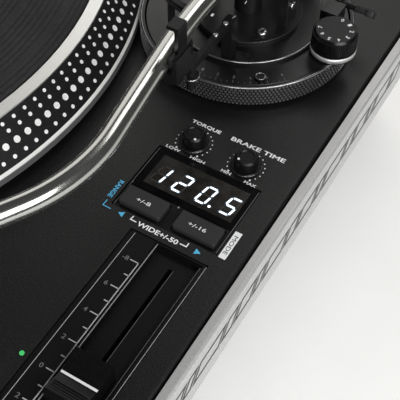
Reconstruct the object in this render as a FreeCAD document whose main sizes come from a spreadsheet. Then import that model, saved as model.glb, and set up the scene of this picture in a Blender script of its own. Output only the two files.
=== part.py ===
"""Direct-drive record player: a parametric FreeCAD document, one solid group per physical piece.

Frame: millimetres, +X to the right, +Y to the back, +Z up.  The origin is the centre of the chassis
outline on the surface that the feet stand on.  "Deck" heights are measured up from the top cover.
"""
import FreeCAD, Part
import math
import os
import re

import Sketcher

Vector = FreeCAD.Vector
doc = FreeCAD.newDocument("record_player")

# ---------------------------------------------------------------------------------------------
# Driving dimensions: name, value, meaning.  Lengths in mm, angles in degrees.
# ---------------------------------------------------------------------------------------------
DIMENSIONS = [
    ("chassis_length", 458, "overall width, left to right"),
    ("chassis_depth", 354, "overall depth, front to back"),
    ("deck_top", 82, "height of the top cover above the table"),
    ("cover_thick", 6, "cast top cover"),
    ("cover_gap", 0.9, "dark gap between cover and side frame"),
    ("cover_round", 1.6, "rounded top edge of the cover"),
    ("cover_corner", 6, "corner radius of the cover, in plan"),
    ("frame_wall", 4.2, "width of the side frame's top land"),
    ("frame_height", 24, "height of the side frame"),
    ("frame_round", 1.4, "rounded outer top edge of the side frame"),
    ("frame_corner", 10, "corner radius of the side frame, in plan"),
    ("tray_gap", 5, "recess of the base tray behind the side frame, each side"),
    ("frame_flange", 3, "thickness of the side frame's inner flange"),
    ("tray_wall", 5, "wall of the base tray"),
    ("tray_bottom", 23.5, "underside of the base tray"),
    ("tray_floor", 4.5, "floor of the base tray"),
    ("plate_thick", 1.5, "steel bottom plate"),
    ("plate_inset", 5, "bottom plate edge in from the tray edge"),
    ("screw_radius", 1.6, "bottom screw shank"),
    ("screw_head", 3.1, "bottom screw head radius"),
    ("screw_clear", 0.05, "radial clearance round fixed shanks"),
    ("run_clear", 0.05, "radial clearance of running fits"),
    ("spindle_x", -33, "platter axis, left of the chassis centre"),
    ("platter_radius", 166.8, "outer edge of the platter"),
    ("rim_bottom", 3, "deck height of the skirt's lower edge"),
    ("rim_top", 7, "deck height of the top of the skirt"),
    ("bevel_foot_radius", 166.3, "lower edge of the dotted bevel"),
    ("bevel_foot", 7.6, "deck height of that edge"),
    ("bevel_head_radius", 154, "upper edge of the dotted bevel"),
    ("ring_top", 22.1, "deck height of the platter's bright top ring"),
    ("ring_inner", 148.4, "inner radius of that ring"),
    ("mat_seat", 20.4, "deck height of the mat's seat"),
    ("mat_radius", 147.6, "rubber mat"),
    ("mat_thick", 2.5, "rubber mat"),
    ("web_bottom", 16, "deck height of the platter web's underside"),
    ("skirt_inner", 158.5, "inside of the platter skirt"),
    ("hub_radius", 68, "platter hub that carries the magnet"),
    ("hub_bottom", 6, "deck height of the hub's underside"),
    ("shaft_radius", 5, "spindle inside the hub and mat"),
    ("pin_radius", 3.58, "record pin and bearing journal"),
    ("pin_top", 35, "deck height of the record pin's tip"),
    ("journal_bottom", 38, "height of the spindle's lower end"),
    ("collar_radius", 9, "spindle collar under the hub"),
    ("collar_thick", 3, "spindle collar"),
    ("magnet_inner", 34, "rotor magnet ring"),
    ("magnet_outer", 64, "rotor magnet ring"),
    ("magnet_thick", 6, "rotor magnet ring"),
    ("well_radius", 153, "round opening in the cover"),
    ("well_depth", 10, "motor well floor below the deck"),
    ("well_wall", 2, "pressed motor well"),
    ("bearing_radius", 11, "bearing housing barrel"),
    ("bearing_flange", 22, "bearing housing flange radius"),
    ("board_thick", 1.6, "circuit boards"),
    ("coil_circle", 48, "pitch radius of the stator coils"),
    ("coil_radius", 9.5, "stator coil"),
    ("coil_height", 6, "stator coil"),
    ("coil_hole", 3, "hole through a stator coil"),
    ("coil_count", 12, "stator coils"),
    ("panel_x", 223.1, "display panel centre, right of the spindle"),
    ("panel_y", -9.2, "display panel centre"),
    ("panel_width", 46.2, "display panel"),
    ("panel_depth", 34.4, "display panel"),
    ("panel_thick", 5, "display panel"),
    ("panel_drop", 0.5, "panel face below the deck"),
    ("panel_gap", 0.3, "panel to the edge of its opening"),
    ("window_y", -3.4, "display window centre"),
    ("window_width", 44.6, "display window"),
    ("window_depth", 21.6, "display window"),
    ("window_thick", 1.6, "display window"),
    ("button_y", -20.2, "centre line of the two range buttons"),
    ("button_8_x", 210.8, "left range button centre"),
    ("button_16_x", 234.8, "right range button centre"),
    ("button_width", 18.5, "range button"),
    ("button_depth", 8.8, "range button"),
    ("button_proud", 1.5, "range button above the deck"),
    ("button_gap", 0.3, "buttons to the edges of their openings"),
    ("button_round", 0.5, "rounded edges of buttons"),
    ("fader_x", 229.6, "fader panel centre, right of the spindle"),
    ("fader_y", -95.1, "fader panel centre, the zero pitch position"),
    ("fader_width", 33, "fader panel"),
    ("fader_depth", 125, "fader panel"),
    ("fader_thick", 5.5, "fader panel"),
    ("trough_x", 234.4, "fader trough centre"),
    ("trough_width", 17.8, "fader trough"),
    ("trough_drop", 3, "fader trough floor below the deck"),
    ("slot_x", 234.4, "fader slot centre"),
    ("slot_width", 1.9, "fader slot"),
    ("slot_length", 112, "fader slot"),
    ("cap_width", 14.6, "fader cap"),
    ("cap_length", 20, "fader cap"),
    ("cap_top", 7.5, "fader cap above the deck"),
    ("lever_width", 1.2, "fader lever blade"),
    ("knob_y", 16.4, "centre line of the two rotary knobs"),
    ("torque_x", 211, "left rotary knob, right of the spindle"),
    ("brake_x", 235, "right rotary knob, right of the spindle"),
    ("knob_radius", 4.7, "rotary knob cap"),
    ("knob_skirt", 6.2, "rotary knob foot"),
    ("knob_top", 5.8, "rotary knob above the deck"),
    ("knob_shaft", 3, "rotary knob shaft"),
    ("pivot_x", 196.7, "tonearm pivot, right of the spindle"),
    ("pivot_y", 86, "tonearm pivot, behind the spindle"),
    ("arm_level", 45, "tonearm axis above the deck"),
    ("ring_radius", 47.4, "knurled height ring"),
    ("ring_under", 1.2, "height ring above the deck"),
    ("ring_height_top", 11, "top edge of the height ring above the deck"),
    ("ring_bore", 45.4, "inside of the height ring"),
    ("ring_floor", 4, "deck height of the ring's inner floor"),
    ("sleeve_radius", 33, "fixed sleeve inside the height ring"),
    ("column_radius", 30, "sliding column of the arm base"),
    ("table_radius", 45, "arm base plate that rises with the ring"),
    ("table_under", 5, "deck height of the plate's underside"),
    ("table_top", 10.4, "deck height of the plate's top"),
    ("step_radius", 33.6, "raised disc on the plate"),
    ("step_top", 12.4, "deck height of the raised disc"),
    ("tube_radius", 4.2, "tonearm tube, outside"),
    ("tube_bore", 3.4, "tonearm tube, inside"),
    ("tube_heading", 1, "tube at the pivot, turned right of straight ahead"),
    ("tube_bulge", 8, "tube after its first bend, turned right"),
    ("tube_final", 30, "tube after its second bend, turned left"),
    ("bend_start", 41, "ahead of the pivot where the first bend starts"),
    ("bend_radius_one", 245, "first bend"),
    ("bulge_run", 46, "straight between the bends"),
    ("bend_radius_two", 62, "second bend"),
    ("effective_length", 230, "pivot to stylus"),
    ("collar_back", 57.5, "rear end of the locking collar, behind the stylus"),
    ("collar_front", 43.5, "front end of the locking collar, behind the stylus"),
    ("tip_drop", 20, "stylus tip below the arm's axis"),
    ("rest_x", 203.2, "arm rest post, right of the spindle"),
    ("rest_y", 27, "arm rest post"),
    ("lift_circle", 40.2, "cueing lift plunger, from the pivot"),
    ("lift_angle", 246, "cueing lift plunger, anticlockwise from the right"),
    ("lift_radius", 1.5, "cueing lift plunger"),
    ("lift_travel", 5, "how far the cueing lift rises"),
    ("antiskate_x", 239.2, "anti-skating dial, right of the spindle"),
    ("antiskate_y", 84, "anti-skating dial"),
    ("antiskate_radius", 9.8, "anti-skating dial"),
    ("antiskate_top", 22, "anti-skating dial above the deck"),
    ("weight_radius", 15.5, "counterweight"),
    ("weight_front", 32.2, "counterweight front face behind the pivot"),
    ("weight_length", 21, "counterweight"),
    ("hub_weight_radius", 7, "sleeve that the counterweight turns on"),
    ("rear_radius", 4.5, "threaded rear shaft"),
    ("tower_x", -130, "strobe tower, from the spindle"),
    ("tower_y", -130, "strobe tower"),
    ("tower_radius", 14.2, "strobe tower"),
    ("tower_top", 15, "strobe tower above the deck"),
    ("switch_top", 26, "rotary power switch above the deck"),
    ("start_x", -169, "start-stop button, from the spindle"),
    ("start_y", -151, "start-stop button"),
    ("start_size", 34, "start-stop button"),
    ("start_proud", 2.4, "start-stop button above the deck"),
    ("speed_33_x", -132, "33 button, from the spindle"),
    ("speed_45_x", -108, "45 button, from the spindle"),
    ("speed_y", -159.5, "speed buttons"),
    ("light_x", 128, "pop-up light, right of the spindle"),
    ("light_y", -140, "pop-up light"),
    ("light_radius", 6, "pop-up light"),
    ("foot_x", 185, "foot, from the chassis centre"),
    ("foot_y", 135, "foot, from the chassis centre"),
    ("foot_radius", 24, "foot"),
    ("foot_height", 20, "foot below its stud"),
    ("stud_radius", 4, "foot stud"),
    ("rear_x", 100, "rear socket panel centre"),
    ("rear_z", 43, "rear socket panel centre height"),
    ("rear_width", 208, "rear socket panel"),
    ("rear_height", 26, "rear socket panel"),
    ("rear_inset", 3.4, "panel face in from the tray's rear wall"),
    ("rca_pitch", 16, "spacing of the phono sockets"),
    ("rca_x", 121, "first phono socket"),
    ("rca_radius", 4.15, "phono socket barrel"),
    ("mains_x", 26, "mains inlet"),
    ("usb_x", 72, "data socket"),
    ("ground_x", 190, "ground terminal"),
]

sheet = doc.addObject("Spreadsheet::Sheet", "dims")
for row, (alias, value, meaning) in enumerate(DIMENSIONS, start=1):
    sheet.set(f"A{row}", meaning)
    sheet.set(f"B{row}", str(value))
    sheet.setAlias(f"B{row}", alias)
doc.recompute()

SIZE = {alias: value for alias, value, meaning in DIMENSIONS}
WORD = re.compile(r"[a-z][a-z_0-9]*")
NODES = []


def bound(text):
    """An expression in which every dimension's name refers to the sheet."""
    return WORD.sub(lambda m: "dims." + m.group(0) if m.group(0) in SIZE else m.group(0), str(text))


def bind(item, prop, text):
    item.setExpression(prop, bound(text))


def place(item, x=0, y=0, z=0, axis=None, angle=0):
    """Put an object at sheet-bound coordinates, turned about one axis by a fixed angle."""
    if axis:
        item.Placement.Rotation = FreeCAD.Rotation(axis, angle)
    bind(item, "Placement.Base.x", x)
    bind(item, "Placement.Base.y", y)
    bind(item, "Placement.Base.z", z)
    return item


def node(item, label):
    """Name a finished sub-part: its label is the name of its file."""
    item.Label = label
    NODES.append(item)
    return item


X_AXIS = Vector(1, 0, 0)
Y_AXIS = Vector(0, 1, 0)
Z_AXIS = Vector(0, 0, 1)


# ---------------------------------------------------------------------------------------------
# Part primitives and booleans
# ---------------------------------------------------------------------------------------------
def box(x, y, z, length, width, height):
    """A block centred on x and y, standing on z."""
    item = doc.addObject("Part::Box", "block")
    bind(item, "Length", length)
    bind(item, "Width", width)
    bind(item, "Height", height)
    return place(item, f"{x} - ({length}) / 2", f"{y} - ({width}) / 2", z)


def cylinder(x, y, z, radius, height, axis=None, angle=0):
    item = doc.addObject("Part::Cylinder", "round")
    bind(item, "Radius", radius)
    bind(item, "Height", height)
    return place(item, x, y, z, axis, angle)


def cone(x, y, z, low_radius, high_radius, height):
    item = doc.addObject("Part::Cone", "taper")
    bind(item, "Radius1", low_radius)
    bind(item, "Radius2", high_radius)
    bind(item, "Height", height)
    return place(item, x, y, z)


def fuse(*parts):
    item = doc.addObject("Part::MultiFuse", "joined")
    item.Shapes = list(parts)
    return item


def cut(base, *tools):
    item = doc.addObject("Part::Cut", "trimmed")
    item.Base = base
    item.Tool = tools[0] if len(tools) == 1 else fuse(*tools)
    return item


def group(*parts):
    item = doc.addObject("Part::Compound", "group")
    item.Links = list(parts)
    return item


# ---------------------------------------------------------------------------------------------
# PartDesign bodies
# ---------------------------------------------------------------------------------------------
def new_body(label, x=0, y=0, z=0):
    body = doc.addObject("PartDesign::Body", "body")
    place(body, x, y, z)
    return node(body, label)


def sketch_on(body, role="XY_Plane", height=None):
    """A sketch on one of the body's own origin planes, raised along its normal by a sheet-bound height."""
    plane = next(f for f in body.Origin.OriginFeatures if f.Role == role)
    sketch = body.newObject("Sketcher::SketchObject", "sketch")
    sketch.AttachmentSupport = [(plane, "")]
    sketch.MapMode = "FlatFace"
    if height is not None:
        bind(sketch, "AttachmentOffset.Base.z", height)
    return sketch


def hold(sketch, kind, geometry, point, text):
    """Dimension one point's coordinate from the sketch origin, bound to the sheet."""
    index = sketch.addConstraint(Sketcher.Constraint(kind, geometry, point, 1.0))
    name = f"d{index}"
    sketch.renameConstraint(index, name)
    bind(sketch, f"Constraints.{name}", text)


def outline(sketch, points):
    """A closed outline of straight lines, each corner held at sheet-bound coordinates."""
    count = len(points)
    rough = [Vector(math.cos(2 * math.pi * i / count), math.sin(2 * math.pi * i / count), 0) for i in range(count)]
    lines = [sketch.addGeometry(Part.LineSegment(rough[i], rough[(i + 1) % count])) for i in range(count)]
    for i, (x, y) in enumerate(points):
        sketch.addConstraint(Sketcher.Constraint("Coincident", lines[i - 1], 2, lines[i], 1))
        hold(sketch, "DistanceX", lines[i], 1, x)
        hold(sketch, "DistanceY", lines[i], 1, y)


def rectangle(sketch, x, y, width, depth):
    left, right = f"{x} - ({width}) / 2", f"{x} + ({width}) / 2"
    front, back = f"{y} - ({depth}) / 2", f"{y} + ({depth}) / 2"
    outline(sketch, [(left, front), (right, front), (right, back), (left, back)])


def circle(sketch, x, y, radius):
    index = sketch.addGeometry(Part.Circle(Vector(0, 0, 0), Z_AXIS, 1))
    hold(sketch, "DistanceX", index, 3, x)
    hold(sketch, "DistanceY", index, 3, y)
    last = sketch.addConstraint(Sketcher.Constraint("Radius", index, 1.0))
    sketch.renameConstraint(last, f"d{last}")
    bind(sketch, f"Constraints.d{last}", radius)


def pad(body, sketch, length, symmetric=False):
    item = body.newObject("PartDesign::Pad", "pad")
    item.Profile = sketch
    item.Midplane = symmetric
    bind(item, "Length", length)
    doc.recompute()
    return item


def pocket(body, sketch, length=None, upward=False):
    """Cut down from the sketch plane, or up, and check that something was removed."""
    before = body.Shape.Volume
    item = body.newObject("PartDesign::Pocket", "pocket")
    item.Profile = sketch
    item.Reversed = upward
    if length is None:
        item.Type = "ThroughAll"
        item.Midplane = True
    else:
        bind(item, "Length", length)
    doc.recompute()
    if not body.Shape.Volume < before - 0.01:
        raise RuntimeError(f"{body.Label}: a pocket cuts nothing")
    return item


def revolve(body, points):
    """Turn a half outline of (radius, height) points about the body's Z axis."""
    sketch = sketch_on(body, "XZ_Plane")
    outline(sketch, points)
    item = body.newObject("PartDesign::Revolution", "turned")
    item.Profile = sketch
    item.ReferenceAxis = (sketch, ["V_Axis"])
    item.Angle = 360
    doc.recompute()
    return item


def edges_where(body, test):
    """Names of the body's edges whose middle points pass a test, in the body's own frame."""
    shape = body.Tip.Shape
    names = []
    for number, edge in enumerate(shape.Edges, start=1):
        middle = edge.valueAt((edge.FirstParameter + edge.LastParameter) / 2)
        if test(edge, middle):
            names.append(f"Edge{number}")
    return names


def round_off(body, radius, test, chamfer=False):
    base = body.Tip
    names = edges_where(body, test)
    if not names:
        raise RuntimeError(f"{body.Label}: no edge to round")
    item = body.newObject("PartDesign::Chamfer" if chamfer else "PartDesign::Fillet", "rounded")
    item.Base = (base, names)
    bind(item, "Size" if chamfer else "Radius", radius)
    doc.recompute()
    return item


def upright(edge, middle):
    """Is this a straight vertical edge?"""
    ends = [v.Point for v in edge.Vertexes]
    return len(ends) == 2 and abs(ends[0].z - ends[1].z) > 0.5 and (ends[0] - ends[1]).cross(Z_AXIS).Length < 1e-6


def level_at(height):
    """A test for edges that lie flat at one height of the body's own frame."""
    def test(edge, middle):
        box_z = edge.BoundBox
        return abs(box_z.ZMin - height) < 1e-4 and abs(box_z.ZMax - height) < 1e-4
    return test


# Shorthand for places that many pieces share.
SPINDLE = "spindle_x"
COVER_LENGTH = "chassis_length - 2 * frame_wall - 2 * cover_gap"
COVER_DEPTH = "chassis_depth - 2 * frame_wall - 2 * cover_gap"
TRAY_LENGTH = "chassis_length - 2 * frame_wall - 2 * tray_gap"
TRAY_DEPTH = "chassis_depth - 2 * frame_wall - 2 * tray_gap"
PIVOT_X = "(spindle_x + pivot_x)"
PIVOT_Y = "pivot_y"


def from_spindle(name):
    return f"(spindle_x + {name})"


def mirror_signs():
    return [(sx, sy) for sy in (-1, 1) for sx in (-1, 1)]


# ---------------------------------------------------------------------------------------------
# Chassis
# ---------------------------------------------------------------------------------------------
def make_top_cover():
    """Cast cover: a thick plate with the platter well and the openings for all the controls."""
    body = new_body("top_cover", z="deck_top - cover_thick")
    plate = sketch_on(body)
    rectangle(plate, 0, 0, COVER_LENGTH, COVER_DEPTH)
    pad(body, plate, "cover_thick")
    round_off(body, "cover_corner", upright)
    round_off(body, "cover_round", level_at(SIZE["cover_thick"]))
    openings = sketch_on(body)
    circle(openings, SPINDLE, 0, "well_radius")
    circle(openings, PIVOT_X, PIVOT_Y, "sleeve_radius + 3 * screw_clear")
    rectangle(openings, from_spindle("panel_x"), "panel_y", "panel_width + 2 * panel_gap", "panel_depth + 2 * panel_gap")
    rectangle(openings, from_spindle("fader_x"), "fader_y", "fader_width + 2 * panel_gap", "fader_depth + 2 * panel_gap")
    for knob_x in ("torque_x", "brake_x"):
        circle(openings, from_spindle(knob_x), "knob_y", "knob_shaft + run_clear")
    rectangle(openings, from_spindle("start_x"), "start_y", "start_size + 2 * button_gap", "start_size + 2 * button_gap")
    for speed_x in ("speed_33_x", "speed_45_x"):
        rectangle(openings, from_spindle(speed_x), "speed_y", "button_width + 2 * button_gap", "button_depth + 2 * button_gap")
    circle(openings, from_spindle("tower_x"), "tower_y", "tower_radius - 3")
    circle(openings, from_spindle("light_x"), "light_y", "light_radius + run_clear")
    pocket(body, openings)


def make_side_frame():
    """Silver frame round the cover's edge; it stands a little proud of the base below it."""
    body = new_body("side_frame", z="deck_top - frame_height")
    ring = sketch_on(body)
    rectangle(ring, 0, 0, "chassis_length", "chassis_depth")
    pad(body, ring, "frame_height")
    round_off(body, "frame_corner", upright)
    round_off(body, "frame_round", level_at(SIZE["frame_height"]))
    inside = sketch_on(body, height="frame_height")
    rectangle(inside, 0, 0, "chassis_length - 2 * frame_wall", "chassis_depth - 2 * frame_wall")
    pocket(body, inside, "frame_height - frame_flange")
    inner_x = SIZE["chassis_length"] / 2 - SIZE["frame_wall"]
    round_off(body, "cover_corner", lambda e, p: upright(e, p) and abs(abs(p.x) - inner_x) < 0.01)
    ledge = sketch_on(body)
    rectangle(ledge, 0, 0, TRAY_LENGTH, TRAY_DEPTH)
    pocket(body, ledge)
    round_off(body, "cover_corner", lambda e, p: upright(e, p) and p.z < SIZE["frame_flange"] and abs(p.x) < inner_x - 1)


def make_base_tray():
    """Moulded base: an open tub with board posts, foot holes and the rear socket opening."""
    body = new_body("base_tray", z="tray_bottom")
    height = "deck_top - cover_thick - tray_bottom"
    block = sketch_on(body)
    rectangle(block, 0, 0, TRAY_LENGTH, TRAY_DEPTH)
    pad(body, block, height)
    round_off(body, "cover_corner", upright)
    round_off(body, "cover_round", level_at(0))
    room = sketch_on(body, height=height)
    rectangle(room, 0, 0, f"{TRAY_LENGTH} - 2 * tray_wall", f"{TRAY_DEPTH} - 2 * tray_wall")
    pocket(body, room, f"{height} - tray_floor")
    posts = sketch_on(body, height="tray_floor")
    for x, y in [(-178, 57), (-58, 57), (-178, 123), (-58, 123), (20, 60), (110, 60), (20, 120), (110, 120)]:
        circle(posts, x, y, 4)
    pad(body, posts, 8)
    holes = sketch_on(body)
    for sx, sy in mirror_signs():
        circle(holes, f"{sx} * foot_x", f"{sy} * foot_y", "stud_radius + run_clear")
    for x, y in screw_places():
        circle(holes, x, y, "screw_radius + screw_clear")
    pocket(body, holes)
    rear = sketch_on(body, "XZ_Plane")
    rectangle(rear, "rear_x", "rear_z - tray_bottom", "rear_width + 0.4", "rear_height + 0.4")
    before = body.Shape.Volume
    opening = body.newObject("PartDesign::Pocket", "rear_opening")
    opening.Profile = rear
    bind(opening, "Length", f"({TRAY_DEPTH}) / 2 + 1")
    doc.recompute()
    if not before - body.Shape.Volume > 1000 or body.Shape.BoundBox.YMax < 100:
        raise RuntimeError("rear opening missed")


def screw_places():
    """The eight bottom screws: the corners and the middle of each side."""
    across = f"({TRAY_LENGTH}) / 2 - 14"
    along = f"({TRAY_DEPTH}) / 2 - 14"
    corners = [(f"{sx} * ({across})", f"{sy} * ({along})") for sx, sy in mirror_signs()]
    middles = [("0", f"-({along})"), ("0", along), (f"-({across})", "0"), (across, "0")]
    return corners + middles


def make_bottom_plate():
    body = new_body("bottom_plate", z="tray_bottom - plate_thick")
    plate = sketch_on(body)
    rectangle(plate, 0, 0, f"{TRAY_LENGTH} - 2 * plate_inset", f"{TRAY_DEPTH} - 2 * plate_inset")
    pad(body, plate, "plate_thick")
    round_off(body, "cover_corner", upright)
    holes = sketch_on(body)
    for sx, sy in mirror_signs():
        circle(holes, f"{sx} * foot_x", f"{sy} * foot_y", "stud_radius + 1")
    for x, y in screw_places():
        circle(holes, x, y, "screw_radius + screw_clear")
    pocket(body, holes)


def make_bottom_screws():
    """Eight pan-head screws that hold the bottom plate to the tray."""
    screws = []
    for x, y in screw_places():
        shank = cylinder(x, y, "tray_bottom - plate_thick", "screw_radius", "plate_thick + 4")
        head = cone(x, y, "tray_bottom - plate_thick - 1.8", "screw_head - 0.8", "screw_head", 1.8)
        slot = box(x, y, "tray_bottom - plate_thick - 1.8", "1.4 * screw_head", 0.7, 0.8)
        screws.append(cut(fuse(shank, head), slot))
    node(group(*screws), "bottom_screws")


def make_feet():
    """Four height-adjustable isolation feet, each on a threaded stud."""
    names = {(-1, -1): "foot_front_left", (1, -1): "foot_front_right", (-1, 1): "foot_rear_left", (1, 1): "foot_rear_right"}
    for (sx, sy), name in names.items():
        body = new_body(name, x=f"{sx} * foot_x", y=f"{sy} * foot_y")
        revolve(body, [
            (0, 0), ("foot_radius - 4", 0), ("foot_radius - 2.4", 1.2), ("foot_radius - 1.6", 5.4),
            ("foot_radius - 3", 6.4), ("foot_radius - 3", 8.2), ("foot_radius", 9.6), ("foot_radius", "foot_height - 2"),
            ("foot_radius - 2", "foot_height"), ("stud_radius", "foot_height"), ("stud_radius", "foot_height + 18"),
            (0, "foot_height + 18"),
        ])


# ---------------------------------------------------------------------------------------------
# Motor and platter
# ---------------------------------------------------------------------------------------------
def make_motor():
    well_floor = "deck_top - well_depth"
    body = new_body("motor_well", x=SPINDLE, z=f"{well_floor} - well_wall")
    lip = "well_depth + well_wall - cover_thick"
    revolve(body, [
        ("bearing_radius + 0.3", 0), ("well_radius", 0), ("well_radius", f"{lip} - well_wall"),
        ("well_radius + 8", f"{lip} - well_wall"), ("well_radius + 8", lip), ("well_radius - well_wall", lip),
        ("well_radius - well_wall", "well_wall"), ("bearing_radius + 0.3", "well_wall"),
    ])

    body = new_body("bearing_housing", x=SPINDLE)
    bore = "pin_radius + run_clear"
    revolve(body, [
        (0, "journal_bottom - 4"), ("bearing_radius", "journal_bottom - 4"), ("bearing_radius", well_floor),
        ("bearing_flange", well_floor), ("bearing_flange", f"{well_floor} + 3"), ("bearing_radius", f"{well_floor} + 3"),
        ("bearing_radius", "deck_top + hub_bottom - collar_thick - 1"),
        (bore, "deck_top + hub_bottom - collar_thick - 1"), (bore, "journal_bottom"), (0, "journal_bottom"),
    ])

    body = new_body("motor_board", x=SPINDLE, z=well_floor)
    ring = sketch_on(body)
    circle(ring, 0, 0, 76)
    circle(ring, 0, 0, "bearing_flange + 0.8")
    pad(body, ring, "board_thick")
    notches = sketch_on(body)
    for angle in (45, 135, 225, 315):
        circle(notches, f"70 * cos({angle})", f"70 * sin({angle})", 1.7)
    pocket(body, notches)

    coils = []
    for number in range(SIZE["coil_count"]):
        angle = f"{number} * 360 / coil_count"
        x = f"{SPINDLE} + coil_circle * cos({angle})"
        y = f"coil_circle * sin({angle})"
        bobbin = cylinder(x, y, f"{well_floor} + board_thick", "coil_radius", "coil_height")
        hole = cylinder(x, y, f"{well_floor} + board_thick", "coil_hole", "coil_height")
        coils.append(cut(bobbin, hole))
    node(group(*coils), "stator_coils")


def make_platter():
    """Cast platter: bevelled rim, bright top ring, recessed mat seat, web and magnet hub."""
    body = new_body("platter", x=SPINDLE, z="deck_top")
    revolve(body, [
        ("shaft_radius + 0.02", "hub_bottom"), ("hub_radius", "hub_bottom"), ("hub_radius + 6", "web_bottom"),
        ("skirt_inner - 4", "web_bottom"), ("skirt_inner", "rim_top"), ("skirt_inner + 2", "rim_bottom"),
        ("platter_radius - 0.5", "rim_bottom"), ("platter_radius", "rim_bottom + 0.5"),
        ("platter_radius", "rim_top"), ("bevel_foot_radius", "bevel_foot"), ("bevel_head_radius", "ring_top"),
        ("ring_inner", "ring_top"), ("ring_inner", "mat_seat"), ("shaft_radius + 0.02", "mat_seat"),
    ])

    body = new_body("platter_mat", x=SPINDLE, z="deck_top + mat_seat")
    revolve(body, [
        ("shaft_radius + 0.3", 0), ("mat_radius", 0), ("mat_radius", "mat_thick - 0.5"),
        ("mat_radius - 0.5", "mat_thick"), ("52", "mat_thick"), ("51.4", "mat_thick - 0.5"),
        ("shaft_radius + 0.3", "mat_thick - 0.5"),
    ])

    body = new_body("spindle", x=SPINDLE)
    seat = "deck_top + hub_bottom"
    shoulder = "deck_top + mat_seat + mat_thick"
    revolve(body, [
        (0, "journal_bottom"), ("pin_radius - 0.8", "journal_bottom"), ("pin_radius", "journal_bottom + 0.8"),
        ("pin_radius", f"{seat} - collar_thick"), ("collar_radius", f"{seat} - collar_thick"),
        ("collar_radius", seat), ("shaft_radius", seat), ("shaft_radius", shoulder), ("pin_radius", shoulder),
        ("pin_radius", "deck_top + pin_top - 1.4"), ("pin_radius - 1.6", "deck_top + pin_top"),
        (0, "deck_top + pin_top"),
    ])

    body = new_body("rotor_magnet", x=SPINDLE, z="deck_top + hub_bottom - magnet_thick")
    ring = sketch_on(body)
    circle(ring, 0, 0, "magnet_outer")
    circle(ring, 0, 0, "magnet_inner")
    pad(body, ring, "magnet_thick")
    round_off(body, 0.6, level_at(0), chamfer=True)


# ---------------------------------------------------------------------------------------------
# Electronics inside the base
# ---------------------------------------------------------------------------------------------
def make_boards():
    floor = "tray_bottom + tray_floor + 8"
    board = box(-118, 90, floor, 132, 78, "board_thick")
    chips = [box(-138, 96, f"{floor} + board_thick", 22, 22, 2.4), box(-98, 78, f"{floor} + board_thick", 14, 14, 2),
             box(-166, 122, f"{floor} + board_thick", 20, 8, 9), box(-84, 122, f"{floor} + board_thick", 30, 8, 9)]
    cans = [cylinder(x, 62, f"{floor} + board_thick", 5, 12) for x in (-174, -160, -146)]
    node(fuse(board, *chips, *cans), "main_board")

    board = box(65, 90, floor, 106, 76, "board_thick")
    core = box(45, 95, f"{floor} + board_thick", 36, 32, 22)
    sink = box(92, 108, f"{floor} + board_thick", 30, 3, 20)
    cans = [cylinder(x, 70, f"{floor} + board_thick", 8, 18) for x in (80, 99)]
    fuse_clip = box(30, 66, f"{floor} + board_thick", 22, 7, 8)
    node(fuse(board, core, sink, fuse_clip, *cans), "power_supply")


# ---------------------------------------------------------------------------------------------
# Controls on the right: display, range buttons, rotary knobs and pitch fader
# ---------------------------------------------------------------------------------------------
def make_button(label, x, y, width, depth, proud, under, stem):
    """A rectangular key: a rounded cap over a round plunger that reaches down to its switch."""
    body = new_body(label, x=x, y=y, z=f"deck_top - {under}")
    cap = sketch_on(body)
    rectangle(cap, 0, 0, width, depth)
    pad(body, cap, f"{under} + {proud}")
    round_off(body, "2 * button_round", upright)
    round_off(body, "button_round", level_at(under + SIZE[proud]))
    plunger = sketch_on(body)
    circle(plunger, 0, 0, stem)
    item = body.newObject("PartDesign::Pad", "plunger")
    item.Profile = plunger
    item.Reversed = True
    item.Length = 4
    doc.recompute()


def make_display_panel():
    """Black insert with the display window's seat and the two range button openings."""
    body = new_body("display_panel", x=from_spindle("panel_x"), y="panel_y", z="deck_top - panel_drop - panel_thick")
    block = sketch_on(body)
    rectangle(block, 0, 0, "panel_width", "panel_depth")
    pad(body, block, "panel_thick")
    round_off(body, 1, upright)
    seat = sketch_on(body, height="panel_thick")
    rectangle(seat, 0, "window_y - panel_y", "window_width + 0.3", "window_depth + 0.3")
    pocket(body, seat, "window_thick - 0.2")
    through = sketch_on(body)
    rectangle(through, 0, "window_y - panel_y", 38.4, 15.4)
    for x in ("button_8_x", "button_16_x"):
        rectangle(through, f"{x} - panel_x", "button_y - panel_y", "button_width + 2 * button_gap",
                  "button_depth + 2 * button_gap")
    pocket(body, through)

    window_z = "deck_top - panel_drop + 0.2 - window_thick"
    body = new_body("display_window", x=from_spindle("panel_x"), y="window_y", z=window_z)
    pane = sketch_on(body)
    rectangle(pane, 0, 0, "window_width", "window_depth")
    pad(body, pane, "window_thick")
    round_off(body, 0.25, level_at(SIZE["window_thick"]), chamfer=True)

    carrier = box(from_spindle("panel_x"), "window_y", f"{window_z} - 9.2", 38, 15, 9)
    board = box(from_spindle("panel_x"), "window_y - 2", f"{window_z} - 10.8", 42, 24, 1.6)
    node(fuse(carrier, board), "display_module")

    for label, x in (("range_8_button", "button_8_x"), ("range_16_button", "button_16_x")):
        make_button(label, from_spindle(x), "button_y", "button_width", "button_depth", "button_proud", 3.5, 2)


def make_knob(label, x):
    """A round knob: foot flange, fluted cap with a dished top, and a D shaft down through the cover."""
    body = new_body(label, x=x, y="knob_y", z="deck_top")
    revolve(body, [
        (0, -10), ("knob_shaft", -10), ("knob_shaft", 0.35), ("knob_skirt", 0.35), ("knob_skirt", 0.9),
        ("knob_skirt - 0.3", 1.2), ("knob_radius", 1.2), ("knob_radius - 0.15", "knob_top - 0.8"),
        ("knob_radius - 0.8", "knob_top"), ("knob_radius - 1.5", "knob_top"),
        ("knob_radius - 1.9", "knob_top - 0.35"), (0, "knob_top - 0.35"),
    ])


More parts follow.
